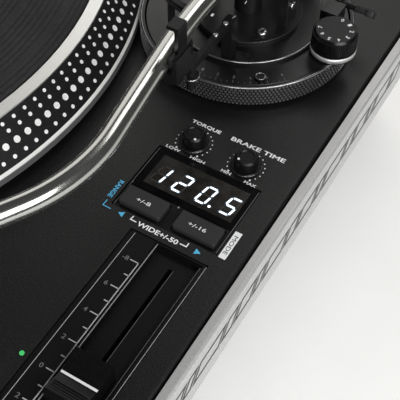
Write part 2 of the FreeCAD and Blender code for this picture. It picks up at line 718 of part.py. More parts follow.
def make_fader():
    """Pitch fader: scale plate with a sunk trough, sealed track and a waisted cap on a blade."""
    panel_z = "deck_top - 0.4 - fader_thick"
    body = new_body("fader_panel", x=from_spindle("fader_x"), y="fader_y", z=panel_z)
    plate = sketch_on(body)
    rectangle(plate, 0, 0, "fader_width", "fader_depth")
    pad(body, plate, "fader_thick")
    round_off(body, 0.8, upright)
    step = sketch_on(body, height="fader_thick")
    rectangle(step, "trough_x - fader_x", 0, "trough_width + 2.6", "fader_depth - 1.2")
    pocket(body, step, 0.8)
    trough = sketch_on(body, height="fader_thick")
    rectangle(trough, "trough_x - fader_x", 0, "trough_width", "fader_depth - 2.4")
    pocket(body, trough, "trough_drop - 0.4")
    slot = sketch_on(body)
    rectangle(slot, "slot_x - fader_x", 0, "slot_width", "slot_length")
    pocket(body, slot)

    case = box(from_spindle("trough_x"), "fader_y", f"{panel_z} - 14", 16, 124, 14)
    groove = box(from_spindle("slot_x"), "fader_y", f"{panel_z} - 11", "lever_width + 1", "slot_length", 11)
    node(cut(case, groove), "fader_track")

    body = new_body("fader_cap", x=from_spindle("trough_x"), y="fader_y", z="deck_top")
    shell = sketch_on(body, "YZ_Plane")
    half = "cap_length / 2"
    outline(shell, [
        (f"-{half}", -2.5), (half, -2.5), (half, "cap_top - 3"), (f"{half} - 1.5", "cap_top"),
        (3.2, "cap_top - 2"), (0.8, "cap_top - 3.1"), (-0.8, "cap_top - 3.1"), (-3.2, "cap_top - 2"),
        (f"-({half} - 1.5)", "cap_top"), (f"-{half}", "cap_top - 3"),
    ])
    pad(body, shell, "cap_width", symmetric=True)
    round_off(body, 0.8, lambda e, p: upright(e, p) and p.z > -2.4 and abs(abs(p.x) - SIZE["cap_width"] / 2) < 0.01)
    blade = sketch_on(body, height=-2.5)
    rectangle(blade, "slot_x - trough_x", 0, "lever_width", 7)
    item = body.newObject("PartDesign::Pad", "blade")
    item.Profile = blade
    item.Reversed = True
    item.Length = 10
    doc.recompute()


# ---------------------------------------------------------------------------------------------
# Controls on the left and front: start-stop, speeds, strobe tower, pop-up light
# ---------------------------------------------------------------------------------------------
def radial_block(x, y, angle, start, length, width, z, height):
    """A block that points away from an upright axis, from a start radius outwards."""
    item = doc.addObject("Part::Box", "block")
    bind(item, "Length", length)
    bind(item, "Width", width)
    bind(item, "Height", height)
    along = f"{start} * cos({angle}) + ({width}) / 2 * sin({angle})"
    across = f"{start} * sin({angle}) - ({width}) / 2 * cos({angle})"
    return place(item, f"{x} + {along}", f"{y} + {across}", z, Z_AXIS, angle)


def make_left_controls():
    make_button("start_stop_button", from_spindle("start_x"), "start_y", "start_size", "start_size", "start_proud", 3.4, 4)
    for label, x in (("speed_33_button", "speed_33_x"), ("speed_45_button", "speed_45_x")):
        make_button(label, from_spindle(x), "speed_y", "button_width", "button_depth", "button_proud", 3.4, 2)

    tower_x = from_spindle("tower_x")
    shell = cylinder(tower_x, "tower_y", "deck_top", "tower_radius", "tower_top")
    spigot = cylinder(tower_x, "tower_y", "deck_top - cover_thick", "tower_radius - 3.2", "cover_thick")
    hollow = cylinder(tower_x, "tower_y", "deck_top - cover_thick", "tower_radius - 5", "cover_thick + tower_top - 2.5")
    window = radial_block(tower_x, "tower_y", 45, 4, 12, 8, "deck_top + 4.3", 7.4)
    node(cut(fuse(shell, spigot), hollow, window), "strobe_tower")
    node(radial_block(tower_x, "tower_y", 45, 10.2, 2, 7.8, "deck_top + 4.4", 7.2), "strobe_lens")

    body = new_body("power_switch", x=tower_x, y="tower_y", z="deck_top")
    revolve(body, [
        (0, "tower_top + 0.4"), ("tower_radius - 0.6", "tower_top + 0.4"), ("tower_radius", "tower_top + 1"),
        ("tower_radius", "switch_top - 1.2"), ("tower_radius - 1.2", "switch_top"), ("4", "switch_top"),
        ("0", "switch_top - 0.6"),
    ])
    grip = sketch_on(body, height="switch_top")
    circle(grip, "tower_radius - 4", 0, 2)
    pocket(body, grip, 1.4)

    body = new_body("target_light", x=from_spindle("light_x"), y="light_y", z="deck_top")
    revolve(body, [
        (0, -28), ("light_radius", -28), ("light_radius", 0.8), ("light_radius - 0.6", 1.4), (0, 1.4),
    ])
    port = sketch_on(body, "YZ_Plane")
    rectangle(port, 0, -5, 4, 4)
    pocket(body, port, 9)


# ---------------------------------------------------------------------------------------------
# Tonearm base
# ---------------------------------------------------------------------------------------------
def make_arm_base():
    body = new_body("arm_base", x=PIVOT_X, y=PIVOT_Y, z="deck_top")
    bore = "column_radius + run_clear"
    revolve(body, [
        (bore, -22), ("sleeve_radius - 0.6", -22), ("sleeve_radius - 0.6", "-cover_thick"),
        ("sleeve_radius", "-cover_thick"), ("sleeve_radius", 0), ("ring_radius - 3", 0), ("ring_radius - 3", 0.8),
        ("sleeve_radius", 0.8), ("sleeve_radius", "table_under - 0.4"), (bore, "table_under - 0.4"),
    ])

    body = new_body("height_ring", x=PIVOT_X, y=PIVOT_Y, z="deck_top")
    revolve(body, [
        ("sleeve_radius + run_clear", "ring_under"), ("ring_radius - 0.6", "ring_under"),
        ("ring_radius", "ring_under + 0.6"), ("ring_radius", "ring_height_top - 0.6"),
        ("ring_radius - 0.6", "ring_height_top"), ("ring_bore", "ring_height_top"), ("ring_bore", "ring_floor"),
        ("sleeve_radius + run_clear", "ring_floor"),
    ])

    body = new_body("arm_platform", x=PIVOT_X, y=PIVOT_Y, z="deck_top")
    revolve(body, [
        (0, -30), ("column_radius - 1", -30), ("column_radius", -29), ("column_radius", "table_under"),
        ("table_radius", "table_under"), ("table_radius", "table_top - 0.4"), ("table_radius - 0.4", "table_top"),
        ("step_radius", "table_top"), ("step_radius", "step_top - 0.5"), ("step_radius - 0.5", "step_top"),
        (0, "step_top"),
    ])
    screw = sketch_on(body, height="table_top - 1")
    circle(screw, 24.5, "-33.5", 2.3)
    pad(body, screw, 2.8)
    relief = sketch_on(body, height="step_top")
    circle(relief, "antiskate_x - pivot_x", "antiskate_y - pivot_y", "antiskate_radius + 0.4")
    pocket(body, relief, "step_top - table_top")
    boss = sketch_on(body, height="table_top - 1")
    rectangle(boss, 34, 14.5, 8, 9)
    pad(body, boss, 9)
    lift = sketch_on(body)
    circle(lift, "lift_circle * cos(lift_angle)", "lift_circle * sin(lift_angle)", "lift_radius + run_clear")
    pocket(body, lift)
    axle = sketch_on(body, "XZ_Plane")
    circle(axle, 34, "table_top + 6", 1.55)
    pocket(body, axle, 60)

    pillar = [box(f"{PIVOT_X} + {side} * 19", PIVOT_Y, "deck_top + step_top", 4, 10, "arm_level + 19 - step_top")
              for side in (-1, 1)]
    foot = cylinder(PIVOT_X, PIVOT_Y, "deck_top + step_top", 24, 3)
    lower = cylinder(PIVOT_X, PIVOT_Y, "deck_top + step_top", 6, "arm_level - 15.4 - step_top")
    bridge = box(PIVOT_X, PIVOT_Y, "deck_top + arm_level + 15.4", 42, 10, 3.6)
    screw_top = cylinder(PIVOT_X, PIVOT_Y, "deck_top + arm_level + 19", 3.6, 1.6)
    node(fuse(foot, lower, bridge, screw_top, *pillar), "gimbal_bracket")

    body = new_body("anti_skate_dial", x=from_spindle("antiskate_x"), y="antiskate_y", z="deck_top")
    revolve(body, [
        (0, "table_top + 0.1"), (2.5, "table_top + 0.1"), (2.5, "ring_height_top + 0.3"),
        ("antiskate_radius", "ring_height_top + 0.3"), ("antiskate_radius", "table_top + 3.6"),
        ("antiskate_radius - 0.7", "table_top + 4"), ("antiskate_radius - 0.7", "antiskate_top - 0.8"),
        ("antiskate_radius - 1.5", "antiskate_top"), (0, "antiskate_top"),
    ])


def make_arm_rest():
    """Arm rest: a bar from the base plate, a post, and a shelf with one prong beside the tube."""
    post_x = from_spindle("rest_x")
    low = "deck_top + 27.5"
    bar = box(post_x, 42, low, 2.6, 34, 3.4)
    riser = box(post_x, 57.5, "deck_top + step_top", 4.6, 5, "27.5 + 3.4 - step_top")
    post = cylinder(post_x, "rest_y", "deck_top + 18.5", 1.9, 17)
    washer = cylinder(post_x, "rest_y", "deck_top + 23.8", 3.3, 1.4)
    link = box(post_x, 22, "deck_top + 33", 3.6, 13, 3.6)
    shelf = box(f"{post_x} - 1.6", 14, "deck_top + 36.4", 12.4, 10, "arm_level - tube_radius - 0.4 - 36.4")
    neck = box(post_x, 14, "deck_top + 34", 3.6, 8, 3)
    prong = box(f"{post_x} + 3.6", 14, "deck_top + 36.4", 2.2, 10, 12)
    lip = box(f"{post_x} - 8.6", 14, "deck_top + 36.4", 2, 10, "arm_level - tube_radius - 0.4 - 36.4")
    pin_hole = cylinder(f"{post_x} + 3.6", "14 - 6", "deck_top + 46.4", "0.8 + run_clear", 12, X_AXIS, -90)
    node(cut(fuse(bar, riser, post, washer, link, shelf, neck, prong, lip), pin_hole), "arm_rest")


def make_rest_clip():
    """Clip that swings over the tube: an upright finger, hinged on a pin through the arm rest's prong."""
    post_x = from_spindle("rest_x")
    pin = cylinder(f"{post_x} + 3.6", "14 - 6.6", "deck_top + 46.4", 0.8, 13.2, X_AXIS, -90)
    ear_front = box(f"{post_x} + 3.6", "14 - 6", "deck_top + 45.2", 2.2, 1.4, 4.4)
    ear_back = box(f"{post_x} + 3.6", "14 + 6", "deck_top + 45.2", 2.2, 1.4, 4.4)
    bridge = box(f"{post_x} + 3.6", 14, "deck_top + 49", 1.6, 13.4, 1.6)
    finger = box(f"{post_x} + 3.6", 14, "deck_top + 50.6", 1.6, 6, 11)
    hook = box(f"{post_x} + 1.9", 14, "deck_top + 60", 4.6, 6, 1.6)
    node(fuse(pin, ear_front, ear_back, bridge, finger, hook), "rest_clip")


def make_cueing():
    """Cueing lever with its cross shaft, and the curved lift rail on its plunger."""
    shaft_x = f"{PIVOT_X} + 34"
    shaft = cylinder(shaft_x, f"{PIVOT_Y} + 9.4", "deck_top + table_top + 6", 1.5, 10.4, X_AXIS, -90)
    hub = cylinder(shaft_x, f"{PIVOT_Y} + 19.4", "deck_top + table_top + 6", 2.6, 3.6, X_AXIS, -90)
    handle = cylinder(shaft_x, f"{PIVOT_Y} + 21.2", "deck_top + table_top + 6", 1.3, 15, Y_AXIS, 90)
    tip = cylinder(f"{shaft_x} + 13", f"{PIVOT_Y} + 21.2", "deck_top + table_top + 6", 1.7, 4, Y_AXIS, 90)
    node(fuse(shaft, hub, handle, tip), "cue_lever")


def ring_sector(centre, inner, outer, low, thick, start, end):
    """A flat curved bar between two angles, in degrees."""
    disc = Part.makeCylinder(outer, thick, centre + Vector(0, 0, low), Z_AXIS, end - start)
    core = Part.makeCylinder(inner, thick, centre + Vector(0, 0, low), Z_AXIS, end - start)
    bar = disc.cut(core)
    bar.rotate(centre, Z_AXIS, start)
    return bar


def feature(label, shape):
    item = doc.addObject("Part::Feature", "piece")
    item.Shape = shape
    return node(item, label)


def make_cue_lift():
    pivot = Vector(SIZE["spindle_x"] + SIZE["pivot_x"], SIZE["pivot_y"], SIZE["deck_top"])
    rail_top = SIZE["arm_level"] - SIZE["tube_radius"] - 2.6
    circle_radius, plunger_radius = SIZE["lift_circle"], SIZE["lift_radius"]
    rail = ring_sector(pivot, circle_radius - 1.7, circle_radius + 1.7, rail_top - 2.2, 2.2, 225, 262)
    angle = math.radians(SIZE["lift_angle"])
    low = SIZE["table_under"] - 0.6
    foot = pivot + Vector(circle_radius * math.cos(angle), circle_radius * math.sin(angle), low)
    plunger = Part.makeCylinder(plunger_radius, rail_top - 2.2 - low, foot, Z_AXIS)
    feature("cue_lift", rail.fuse(plunger).removeSplitter())


# ---------------------------------------------------------------------------------------------
# Tonearm.  Headings are turns from straight ahead (towards the front): positive to the right.
# ---------------------------------------------------------------------------------------------
def ahead(heading):
    turn = math.radians(heading)
    return Vector(math.sin(turn), -math.cos(turn), 0)


def rightward(heading):
    turn = math.radians(heading)
    return Vector(math.cos(turn), math.sin(turn), 0)


def arm_route():
    """The tube's centre line: edges, its last point and its last heading."""
    pivot = Vector(SIZE["spindle_x"] + SIZE["pivot_x"], SIZE["pivot_y"], SIZE["deck_top"] + SIZE["arm_level"])
    first, second, last = SIZE["tube_heading"], SIZE["tube_bulge"], -SIZE["tube_final"]
    start = pivot + ahead(first) * 4
    one = pivot + ahead(first) * SIZE["bend_start"]
    centre_one = one + rightward(first) * SIZE["bend_radius_one"]
    two = centre_one - rightward(second) * SIZE["bend_radius_one"]
    middle_one = centre_one - rightward((first + second) / 2) * SIZE["bend_radius_one"]
    three = two + ahead(second) * SIZE["bulge_run"]
    centre_two = three - rightward(second) * SIZE["bend_radius_two"]
    four = centre_two + rightward(last) * SIZE["bend_radius_two"]
    middle_two = centre_two + rightward((second + last) / 2) * SIZE["bend_radius_two"]
    tip_run = stylus_run(pivot, four, last)
    five = four + ahead(last) * (tip_run - SIZE["collar_back"])
    edges = [
        Part.LineSegment(start, one).toShape(), Part.Arc(one, middle_one, two).toShape(),
        Part.LineSegment(two, three).toShape(), Part.Arc(three, middle_two, four).toShape(),
        Part.LineSegment(four, five).toShape(),
    ]
    return pivot, edges, four + ahead(last) * tip_run, last


def stylus_run(pivot, start, heading):
    """How far along the last straight the stylus lies, for the effective length."""
    low, high = 0.0, 200.0
    for step in range(60):
        middle = (low + high) / 2
        if (start + ahead(heading) * middle - pivot).Length < SIZE["effective_length"]:
            low = middle
        else:
            high = middle
    return low


def swept(edges, radius):
    wire = Part.Wire(edges)
    start = edges[0].valueAt(edges[0].FirstParameter)
    direction = edges[0].tangentAt(edges[0].FirstParameter)
    profile = Part.Wire(Part.makeCircle(radius, start, direction))
    return wire.makePipeShell([profile], True, True)


def make_arm():
    pivot, route, stylus_at, heading = arm_route()
    back = -SIZE["tube_heading"]
    first = SIZE["tube_heading"]
    side = rightward(first)
    to_front = ahead(first)

    outer = swept(route, SIZE["tube_radius"])
    inner = swept(route, SIZE["tube_bore"])
    block = Part.makeCylinder(6.6, 14, pivot - to_front * 7, to_front)
    pins = Part.makeCylinder(1.2, 21.8, pivot - side * 10.9, side)
    tube = outer.cut(inner).fuse(block).fuse(pins).removeSplitter()
    feature("arm_tube", tube)

    gimbal = Part.makeCylinder(15, 7, pivot - to_front * 3.5, to_front)
    gimbal = gimbal.cut(Part.makeCylinder(11, 7, pivot - to_front * 3.5, to_front))
    for turn in (-1, 1):
        gimbal = gimbal.cut(Part.makeCylinder(1.25, 5, pivot + side * turn * 10.4, side * turn))
    gimbal = gimbal.fuse(Part.makeCylinder(2.4, 0.9, pivot + Vector(0, 0, 14.3), Z_AXIS))
    gimbal = gimbal.fuse(Part.makeCylinder(2.4, 0.9, pivot + Vector(0, 0, -15.2), Z_AXIS))
    feature("gimbal_ring", gimbal.removeSplitter())

    rear = Part.makeCylinder(SIZE["rear_radius"], 58, pivot - to_front * 7, to_front * -1)
    feature("rear_shaft", rear)
    hub = Part.makeCylinder(SIZE["hub_weight_radius"], 29.5, pivot - to_front * 27, to_front * -1)
    hub = hub.cut(Part.makeCylinder(SIZE["rear_radius"] + SIZE["run_clear"], 29.5, pivot - to_front * 27, to_front * -1))
    feature("weight_hub", hub)
    bore = SIZE["hub_weight_radius"] + SIZE["run_clear"]
    dial = Part.makeCylinder(13.6, 4.4, pivot - to_front * 27.4, to_front * -1)
    dial = dial.cut(Part.makeCylinder(bore, 4.4, pivot - to_front * 27.4, to_front * -1))
    feature("weight_dial", dial)
    front = pivot - to_front * SIZE["weight_front"]
    weight = Part.makeCylinder(SIZE["weight_radius"], SIZE["weight_length"], front, to_front * -1)
    round_edges = [e for e in weight.Edges if len(e.Vertexes) == 1 or e.Closed]
    weight = weight.makeFillet(1.2, [e for e in round_edges if e.Curve.TypeId == "Part::GeomCircle"])
    weight = weight.cut(Part.makeCylinder(bore, SIZE["weight_length"], front, to_front * -1))
    feature("counterweight", weight)
    make_head(stylus_at, heading)


def oriented(shape, at, heading):
    """Carry a shape built at the origin, pointing to the front (-Y), to a place and heading."""
    shape.rotate(Vector(0, 0, 0), Z_AXIS, heading)
    shape.translate(at)
    return shape


def block_at(x, y, z, length, width, height):
    """A block centred on x, spanning y to y + width and z to z + height."""
    return Part.makeBox(length, width, height, Vector(x - length / 2, y, z))


def make_head(stylus_at, heading):
    """Locking collar, headshell with finger lift, cartridge and stylus; the tip is under stylus_at."""
    back, front = SIZE["collar_back"], SIZE["collar_front"]
    forward = Vector(0, -1, 0)
    collar = Part.makeCylinder(6.2, back - front, Vector(0, back, 0), forward)
    feature("headshell_collar", oriented(collar, stylus_at, heading))

    plug = Part.makeCylinder(4.6, 6, Vector(0, front, 0), forward)
    neck = block_at(0, 20, -2, 9.4, 18, 3.6)
    plate = block_at(0, -8.5, -2, 19, 31, 2.4)
    plate = plate.makeFillet(3.2, [e for e in plate.Edges if abs(e.tangentAt(e.FirstParameter).z) > 0.9])
    lift = block_at(12.5, -3, -1.4, 9, 4, 1.1)
    finger = block_at(16.6, -9, -1.4, 3.6, 10, 1.1)
    shell = plug.fuse([neck, plate, lift, finger])
    for x in (-6.35, 6.35):
        shell = shell.cut(block_at(x, 1, -2, 2.4, 9, 2.4))
    feature("headshell", oriented(shell.removeSplitter(), stylus_at, heading))

    body = block_at(0, -8, -15.5, 17, 28, 13.5)
    body = body.makeFillet(1.4, [e for e in body.Edges if abs(e.tangentAt(e.FirstParameter).z) > 0.9])
    screws = [Part.makeCylinder(1.1, 3.4, Vector(x, 5.5, -2.5), Z_AXIS) for x in (-6.35, 6.35)]
    screws += [Part.makeCylinder(2, 1.3, Vector(x, 5.5, 0.4), Z_AXIS) for x in (-6.35, 6.35)]
    pins = [Part.makeCylinder(0.6, 4, Vector(x, 24, z), forward) for x in (-3, 3) for z in (-11, -6)]
    feature("cartridge", oriented(body.fuse(screws + pins).removeSplitter(), stylus_at, heading))

    holder = block_at(0, -7.4, -17.6, 6.4, 9, 2.1)
    tip = Part.makeCone(0.45, 0.12, 1.2, Vector(0, 0, -SIZE["tip_drop"] + 1.2), Vector(0, 0, -1))
    link = Part.makeCylinder(0.45, 1.4, Vector(0, 0, -17.7), Vector(0, 0, -1))
    feature("stylus", oriented(holder.fuse([link, tip]), stylus_at, heading))


# ---------------------------------------------------------------------------------------------
# Rear sockets
# ---------------------------------------------------------------------------------------------
def make_rear():
    face = f"({TRAY_DEPTH}) / 2 - rear_inset"
    plate = box("rear_x", f"{face} - 0.8", "rear_z - rear_height / 2", "rear_width", 1.6, "rear_height")
    mains_hole = box("mains_x", f"{face} - 0.8", "rear_z - 10.1", 28.2, 1.6, 20.2)
    usb_hole = box("usb_x", f"{face} - 0.8", "rear_z - 6.1", 12.2, 1.6, 12.2)
    barrel_holes = [cylinder(f"rca_x + {n} * rca_pitch", f"{face} - 1.6", "rear_z", "rca_radius + screw_clear", 1.6, X_AXIS, -90)
                    for n in range(4)]
    ground_hole = cylinder("ground_x", f"{face} - 1.6", "rear_z", 2.05, 1.6, X_AXIS, -90)
    node(cut(plate, mains_hole, usb_hole, ground_hole, *barrel_holes), "rear_panel")

    sockets = []
    for number in range(4):
        x = f"rca_x + {number} * rca_pitch"
        barrel = cylinder(x, f"{face} - 9.6", "rear_z", "rca_radius", 17.4, X_AXIS, -90)
        nut = cylinder(x, face, "rear_z", 5.8, 1.4, X_AXIS, -90)
        hole = cylinder(x, f"{face} - 1.2", "rear_z", 1.7, 9, X_AXIS, -90)
        sockets.append(cut(fuse(barrel, nut), hole))
    node(group(*sockets), "phono_sockets")

    shell = box("usb_x", f"{face} - 7.5", "rear_z - 6", 12, 16, 12)
    mouth = box("usb_x", f"{face} - 4", "rear_z - 4", 8.6, 10, 8)
    tongue = box("usb_x", f"{face} - 4.5", "rear_z - 1.6", 5.4, 8, 3.2)
    node(fuse(cut(shell, mouth), tongue), "usb_socket")

    case = box("mains_x", f"{face} - 8.5", "rear_z - 10", 28, 19, 20)
    mouth = box("mains_x", f"{face} - 7", "rear_z - 8", 24, 17, 16)
    pins = [box(f"mains_x + {dx}", f"{face} - 9", f"rear_z + {dz} - 2", 2, 15, 4) for dx, dz in ((-7, -1), (0, 3), (7, -1))]
    node(fuse(cut(case, mouth), *pins), "mains_inlet")

    stem = cylinder("ground_x", f"{face} - 5", "rear_z", 2, 12, X_AXIS, -90)
    thumb = cylinder("ground_x", f"{face} + 1.4", "rear_z", 4.6, 5, X_AXIS, -90)
    node(fuse(stem, thumb), "ground_terminal")


def check_document():
    doc.recompute()
    broken = [o.Label for o in doc.Objects if "Invalid" in o.State or "Error" in o.State]
    if broken:
        raise RuntimeError(f"failed objects: {broken}")
    for item in NODES:
        shape = item.Shape
        if shape.isNull() or not shape.isValid() or not shape.Solids:
            raise RuntimeError(f"{item.Label}: no valid solid")


make_top_cover()
make_side_frame()
make_base_tray()
make_bottom_plate()
make_bottom_screws()
make_feet()
make_motor()
make_platter()
make_boards()
make_display_panel()
make_knob("torque_knob", from_spindle("torque_x"))
make_knob("brake_knob", from_spindle("brake_x"))
make_fader()
make_left_controls()
make_arm_base()
make_arm_rest()
make_rest_clip()
make_cueing()
make_cue_lift()
make_arm()
make_rear()
check_document()

os.makedirs("parts", exist_ok=True)
for item in NODES:
    item.Shape.exportStep(f"parts/{item.Label}.step")
print(len(NODES), "sub-parts written")
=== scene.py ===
"""Looks of a direct-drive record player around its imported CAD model.  Deck coordinates in this file are
millimetres from the spindle axis: +x right, +y back, height above the top cover."""
import math

import bmesh
import bpy
from mathutils import Matrix, Vector


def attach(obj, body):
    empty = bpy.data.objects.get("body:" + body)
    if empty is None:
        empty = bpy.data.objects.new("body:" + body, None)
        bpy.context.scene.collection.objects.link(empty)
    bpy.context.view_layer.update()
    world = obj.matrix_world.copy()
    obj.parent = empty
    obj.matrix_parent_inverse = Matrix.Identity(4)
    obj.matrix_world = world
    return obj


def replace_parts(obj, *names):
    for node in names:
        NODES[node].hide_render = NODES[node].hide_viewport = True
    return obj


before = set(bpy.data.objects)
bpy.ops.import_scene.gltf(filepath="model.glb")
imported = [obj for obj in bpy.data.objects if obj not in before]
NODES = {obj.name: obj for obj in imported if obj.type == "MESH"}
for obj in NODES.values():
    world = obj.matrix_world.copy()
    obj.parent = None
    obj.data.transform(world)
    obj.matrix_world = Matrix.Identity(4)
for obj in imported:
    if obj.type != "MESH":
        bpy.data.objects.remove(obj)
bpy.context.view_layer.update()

MM = 0.001
SPINDLE_X = -33.0          # spindle axis, from the chassis centre
DECK_Z = 82.0              # top cover above the table
HALF_LENGTH = 229.0        # chassis, centre to its right side
PIVOT = (196.7, 86.0)      # tonearm pivot
ARM_LEVEL = 45.0
INK = 0.03                 # printed marks stand this much proud


def deck(x, y, z=0.0):
    """A point of the object from deck millimetres."""
    return Vector(((x + SPINDLE_X) * MM, y * MM, (z + DECK_Z) * MM))


def shift(x, y, z):
    return Matrix.Translation((x, y, z))


def spin(axis, degrees):
    return Matrix.Rotation(math.radians(degrees), 4, axis)


def on_deck(x=0.0, y=0.0, z=0.0, turn=0.0):
    """A frame in millimetres whose origin is a deck point, turned about the upright axis by degrees."""
    return shift(x + SPINDLE_X, y, z + DECK_Z) @ spin("Z", turn)


UNMOVED = Matrix.Identity(4)
DECK = on_deck()


# ---- Materials ----
class Nodes:
    """A new material's node tree, with short ways to add and join nodes."""

    def __init__(self, name):
        self.material = bpy.data.materials.new(name)
        self.material.use_nodes = True
        self.tree = self.material.node_tree
        self.shader = self.tree.nodes["Principled BSDF"]
        self.place = self.add("ShaderNodeTexCoord").outputs["Object"]

    def add(self, kind, **settings):
        node = self.tree.nodes.new(kind)
        for key, value in settings.items():
            setattr(node, key, value)
        return node

    def join(self, source, target):
        self.tree.links.new(source, target)

    def noise(self, scale, detail=3.0, vector=None, roughness=0.55):
        node = self.add("ShaderNodeTexNoise")
        node.inputs["Scale"].default_value = scale
        node.inputs["Detail"].default_value = detail
        node.inputs["Roughness"].default_value = roughness
        self.join(vector or self.place, node.inputs["Vector"])
        return node.outputs["Fac"]

    def remap(self, value, low, high, to_low, to_high):
        node = self.add("ShaderNodeMapRange")
        self.join(value, node.inputs["Value"])
        limits = {"From Min": low, "From Max": high, "To Min": to_low, "To Max": to_high}
        for socket, number in limits.items():
            node.inputs[socket].default_value = number
        return node.outputs["Result"]

    def blend(self, factor, first, second):
        """A colour between two colours or colour outputs."""
        node = self.add("ShaderNodeMix", data_type="RGBA")
        self.join(factor, node.inputs["Factor"])
        for socket, colour in ((node.inputs[6], first), (node.inputs[7], second)):
            if isinstance(colour, bpy.types.NodeSocket):
                self.join(colour, socket)
            else:
                socket.default_value = (*colour, 1)
        return node.outputs[2]

    def maths(self, operation, first, second=None):
        node = self.add("ShaderNodeMath", operation=operation)
        for socket, value in zip(node.inputs, (first, second)):
            if isinstance(value, bpy.types.NodeSocket):
                self.join(value, socket)
            elif value is not None:
                socket.default_value = value
        return node.outputs[0]

    def stretched(self, scales):
        node = self.add("ShaderNodeMapping")
        node.inputs["Scale"].default_value = scales
        self.join(self.place, node.inputs["Vector"])
        return node.outputs["Vector"]

    def around(self, centre):
        """Distance from an upright axis, and the height, in metres."""
        shift = self.add("ShaderNodeVectorMath", operation="SUBTRACT")
        self.join(self.place, shift.inputs[0])
        shift.inputs[1].default_value = centre
        flat = self.add("ShaderNodeVectorMath", operation="MULTIPLY")
        self.join(shift.outputs[0], flat.inputs[0])
        flat.inputs[1].default_value = (1, 1, 0)
        length = self.add("ShaderNodeVectorMath", operation="LENGTH")
        self.join(flat.outputs[0], length.inputs[0])
        split = self.add("ShaderNodeSeparateXYZ")
        self.join(shift.outputs[0], split.inputs[0])
        return length.outputs["Value"], split.outputs["Z"]

    def rings(self, radius, pitch):
        """Fine noise that changes only with the radius, like a turned face."""
        node = self.add("ShaderNodeTexNoise", noise_dimensions="1D")
        self.join(self.maths("MULTIPLY", radius, 1 / pitch), node.inputs["W"])
        node.inputs["Scale"].default_value = 1.0
        node.inputs["Detail"].default_value = 4.0
        return node.outputs["Fac"]

    def bump(self, height, strength, distance=0.0002):
        node = self.add("ShaderNodeBump")
        node.inputs["Strength"].default_value = strength
        node.inputs["Distance"].default_value = distance
        self.join(height, node.inputs["Height"])
        self.join(node.outputs["Normal"], self.shader.inputs["Normal"])

    def tint(self, factor, low, high, first, second):
        """Base colour that runs between two colours over part of a value's range."""
        mixed = self.blend(self.remap(factor, low, high, 0, 1), first, second)
        self.join(mixed, self.shader.inputs["Base Color"])

    def gloss(self, scale, low, high, detail=3.0):
        """Roughness that drifts between two values."""
        drift = self.remap(self.noise(scale, detail), 0.3, 0.7, low, high)
        self.join(drift, self.shader.inputs["Roughness"])

    def set(self, **values):
        for name, value in values.items():
            self.shader.inputs[name.replace("_", " ")].default_value = value


def grained(name, colour, rough, metallic=0.0, grain=1400, relief=0.25, spread=0.35, coat=0.0, vary=0.06,
            gloss=0.5):
    """Paint, moulding or blasted metal: speckled colour, uneven gloss and a fine grain."""
    n = Nodes(name)
    fine = n.noise(grain, 4)
    darker = tuple(c * (1 - spread) for c in colour)
    lighter = tuple(min(1, c * (1 + spread)) for c in colour)
    n.tint(fine, 0.3, 0.7, darker, lighter)
    n.gloss(22, rough - vary, rough + vary)
    n.bump(fine, relief)
    n.set(Metallic=metallic, Coat_Weight=coat, Coat_Roughness=0.1, Specular_IOR_Level=gloss)
    return n.material


def ink(name, colour, rough, spread):
    return grained(name, colour, rough, grain=2500, relief=0.08, spread=spread)


def brushed(name, colour, rough, scales, metallic=1.0, relief=0.15):
    """Metal with hairlines along the axis whose scale is smallest."""
    n = Nodes(name)
    lines = n.noise(1, 5, n.stretched(scales))
    n.tint(lines, 0.3, 0.7, tuple(c * 0.8 for c in colour), colour)
    n.gloss(35, rough - 0.05, rough + 0.08)
    n.bump(lines, relief, 0.0001)
    n.set(Metallic=metallic)
    return n.material


def turned(name, colour, rough, centre, metallic=1.0, pitch=0.00025, relief=0.2):
    """A face turned on a lathe about an upright axis."""
    n = Nodes(name)
    lines = n.rings(n.around(centre)[0], pitch)
    n.tint(lines, 0.3, 0.7, tuple(c * 0.82 for c in colour), colour)
    n.gloss(40, rough - 0.05, rough + 0.05)
    n.bump(lines, relief, 0.0001)
    n.set(Metallic=metallic)
    return n.material


def platter_metal(centre):
    """Cast platter: diamond-cut top ring and lip, black grained bevel, dark turned skirt."""
    top_ring_edge, lip_edge, lip_height, skirt_height = 0.15425, 0.16585, 0.0066, 0.0072
    n = Nodes("platter_cast")
    radius, height = n.around(centre)
    lines = n.rings(radius, 0.00018)
    grain = n.noise(1700, 3)
    top_ring = n.maths("LESS_THAN", radius, top_ring_edge)
    outermost = n.maths("GREATER_THAN", radius, lip_edge)
    lip = n.maths("MULTIPLY", outermost, n.maths("GREATER_THAN", height, lip_height))
    bright = n.maths("MAXIMUM", top_ring, lip)
    skirt = n.maths("LESS_THAN", height, skirt_height)
    silver = n.blend(n.remap(lines, 0.3, 0.7, 0, 1), (0.62, 0.62, 0.61), (0.86, 0.86, 0.84))
    black = n.blend(n.remap(grain, 0.35, 0.7, 0, 1), (0.003, 0.003, 0.0035), (0.014, 0.014, 0.015))
    hoops = n.add("ShaderNodeTexNoise", noise_dimensions="1D")
    n.join(n.maths("MULTIPLY", height, 4200), hoops.inputs["W"])
    grey = n.blend(n.remap(hoops.outputs["Fac"], 0.35, 0.65, 0, 1), (0.05, 0.05, 0.052), (0.2, 0.2, 0.205))
    dark = n.blend(skirt, black, grey)
    n.join(n.blend(bright, dark, silver), n.shader.inputs["Base Color"])
    n.join(n.maths("MAXIMUM", top_ring, n.maths("MULTIPLY", skirt, 0.3)), n.shader.inputs["Metallic"])
    n.set(Specular_IOR_Level=0.22)
    n.join(n.remap(bright, 0, 1, 0.5, 0.3), n.shader.inputs["Roughness"])
    n.bump(n.blend(bright, grain, lines), 0.25, 0.00012)
    return n.material


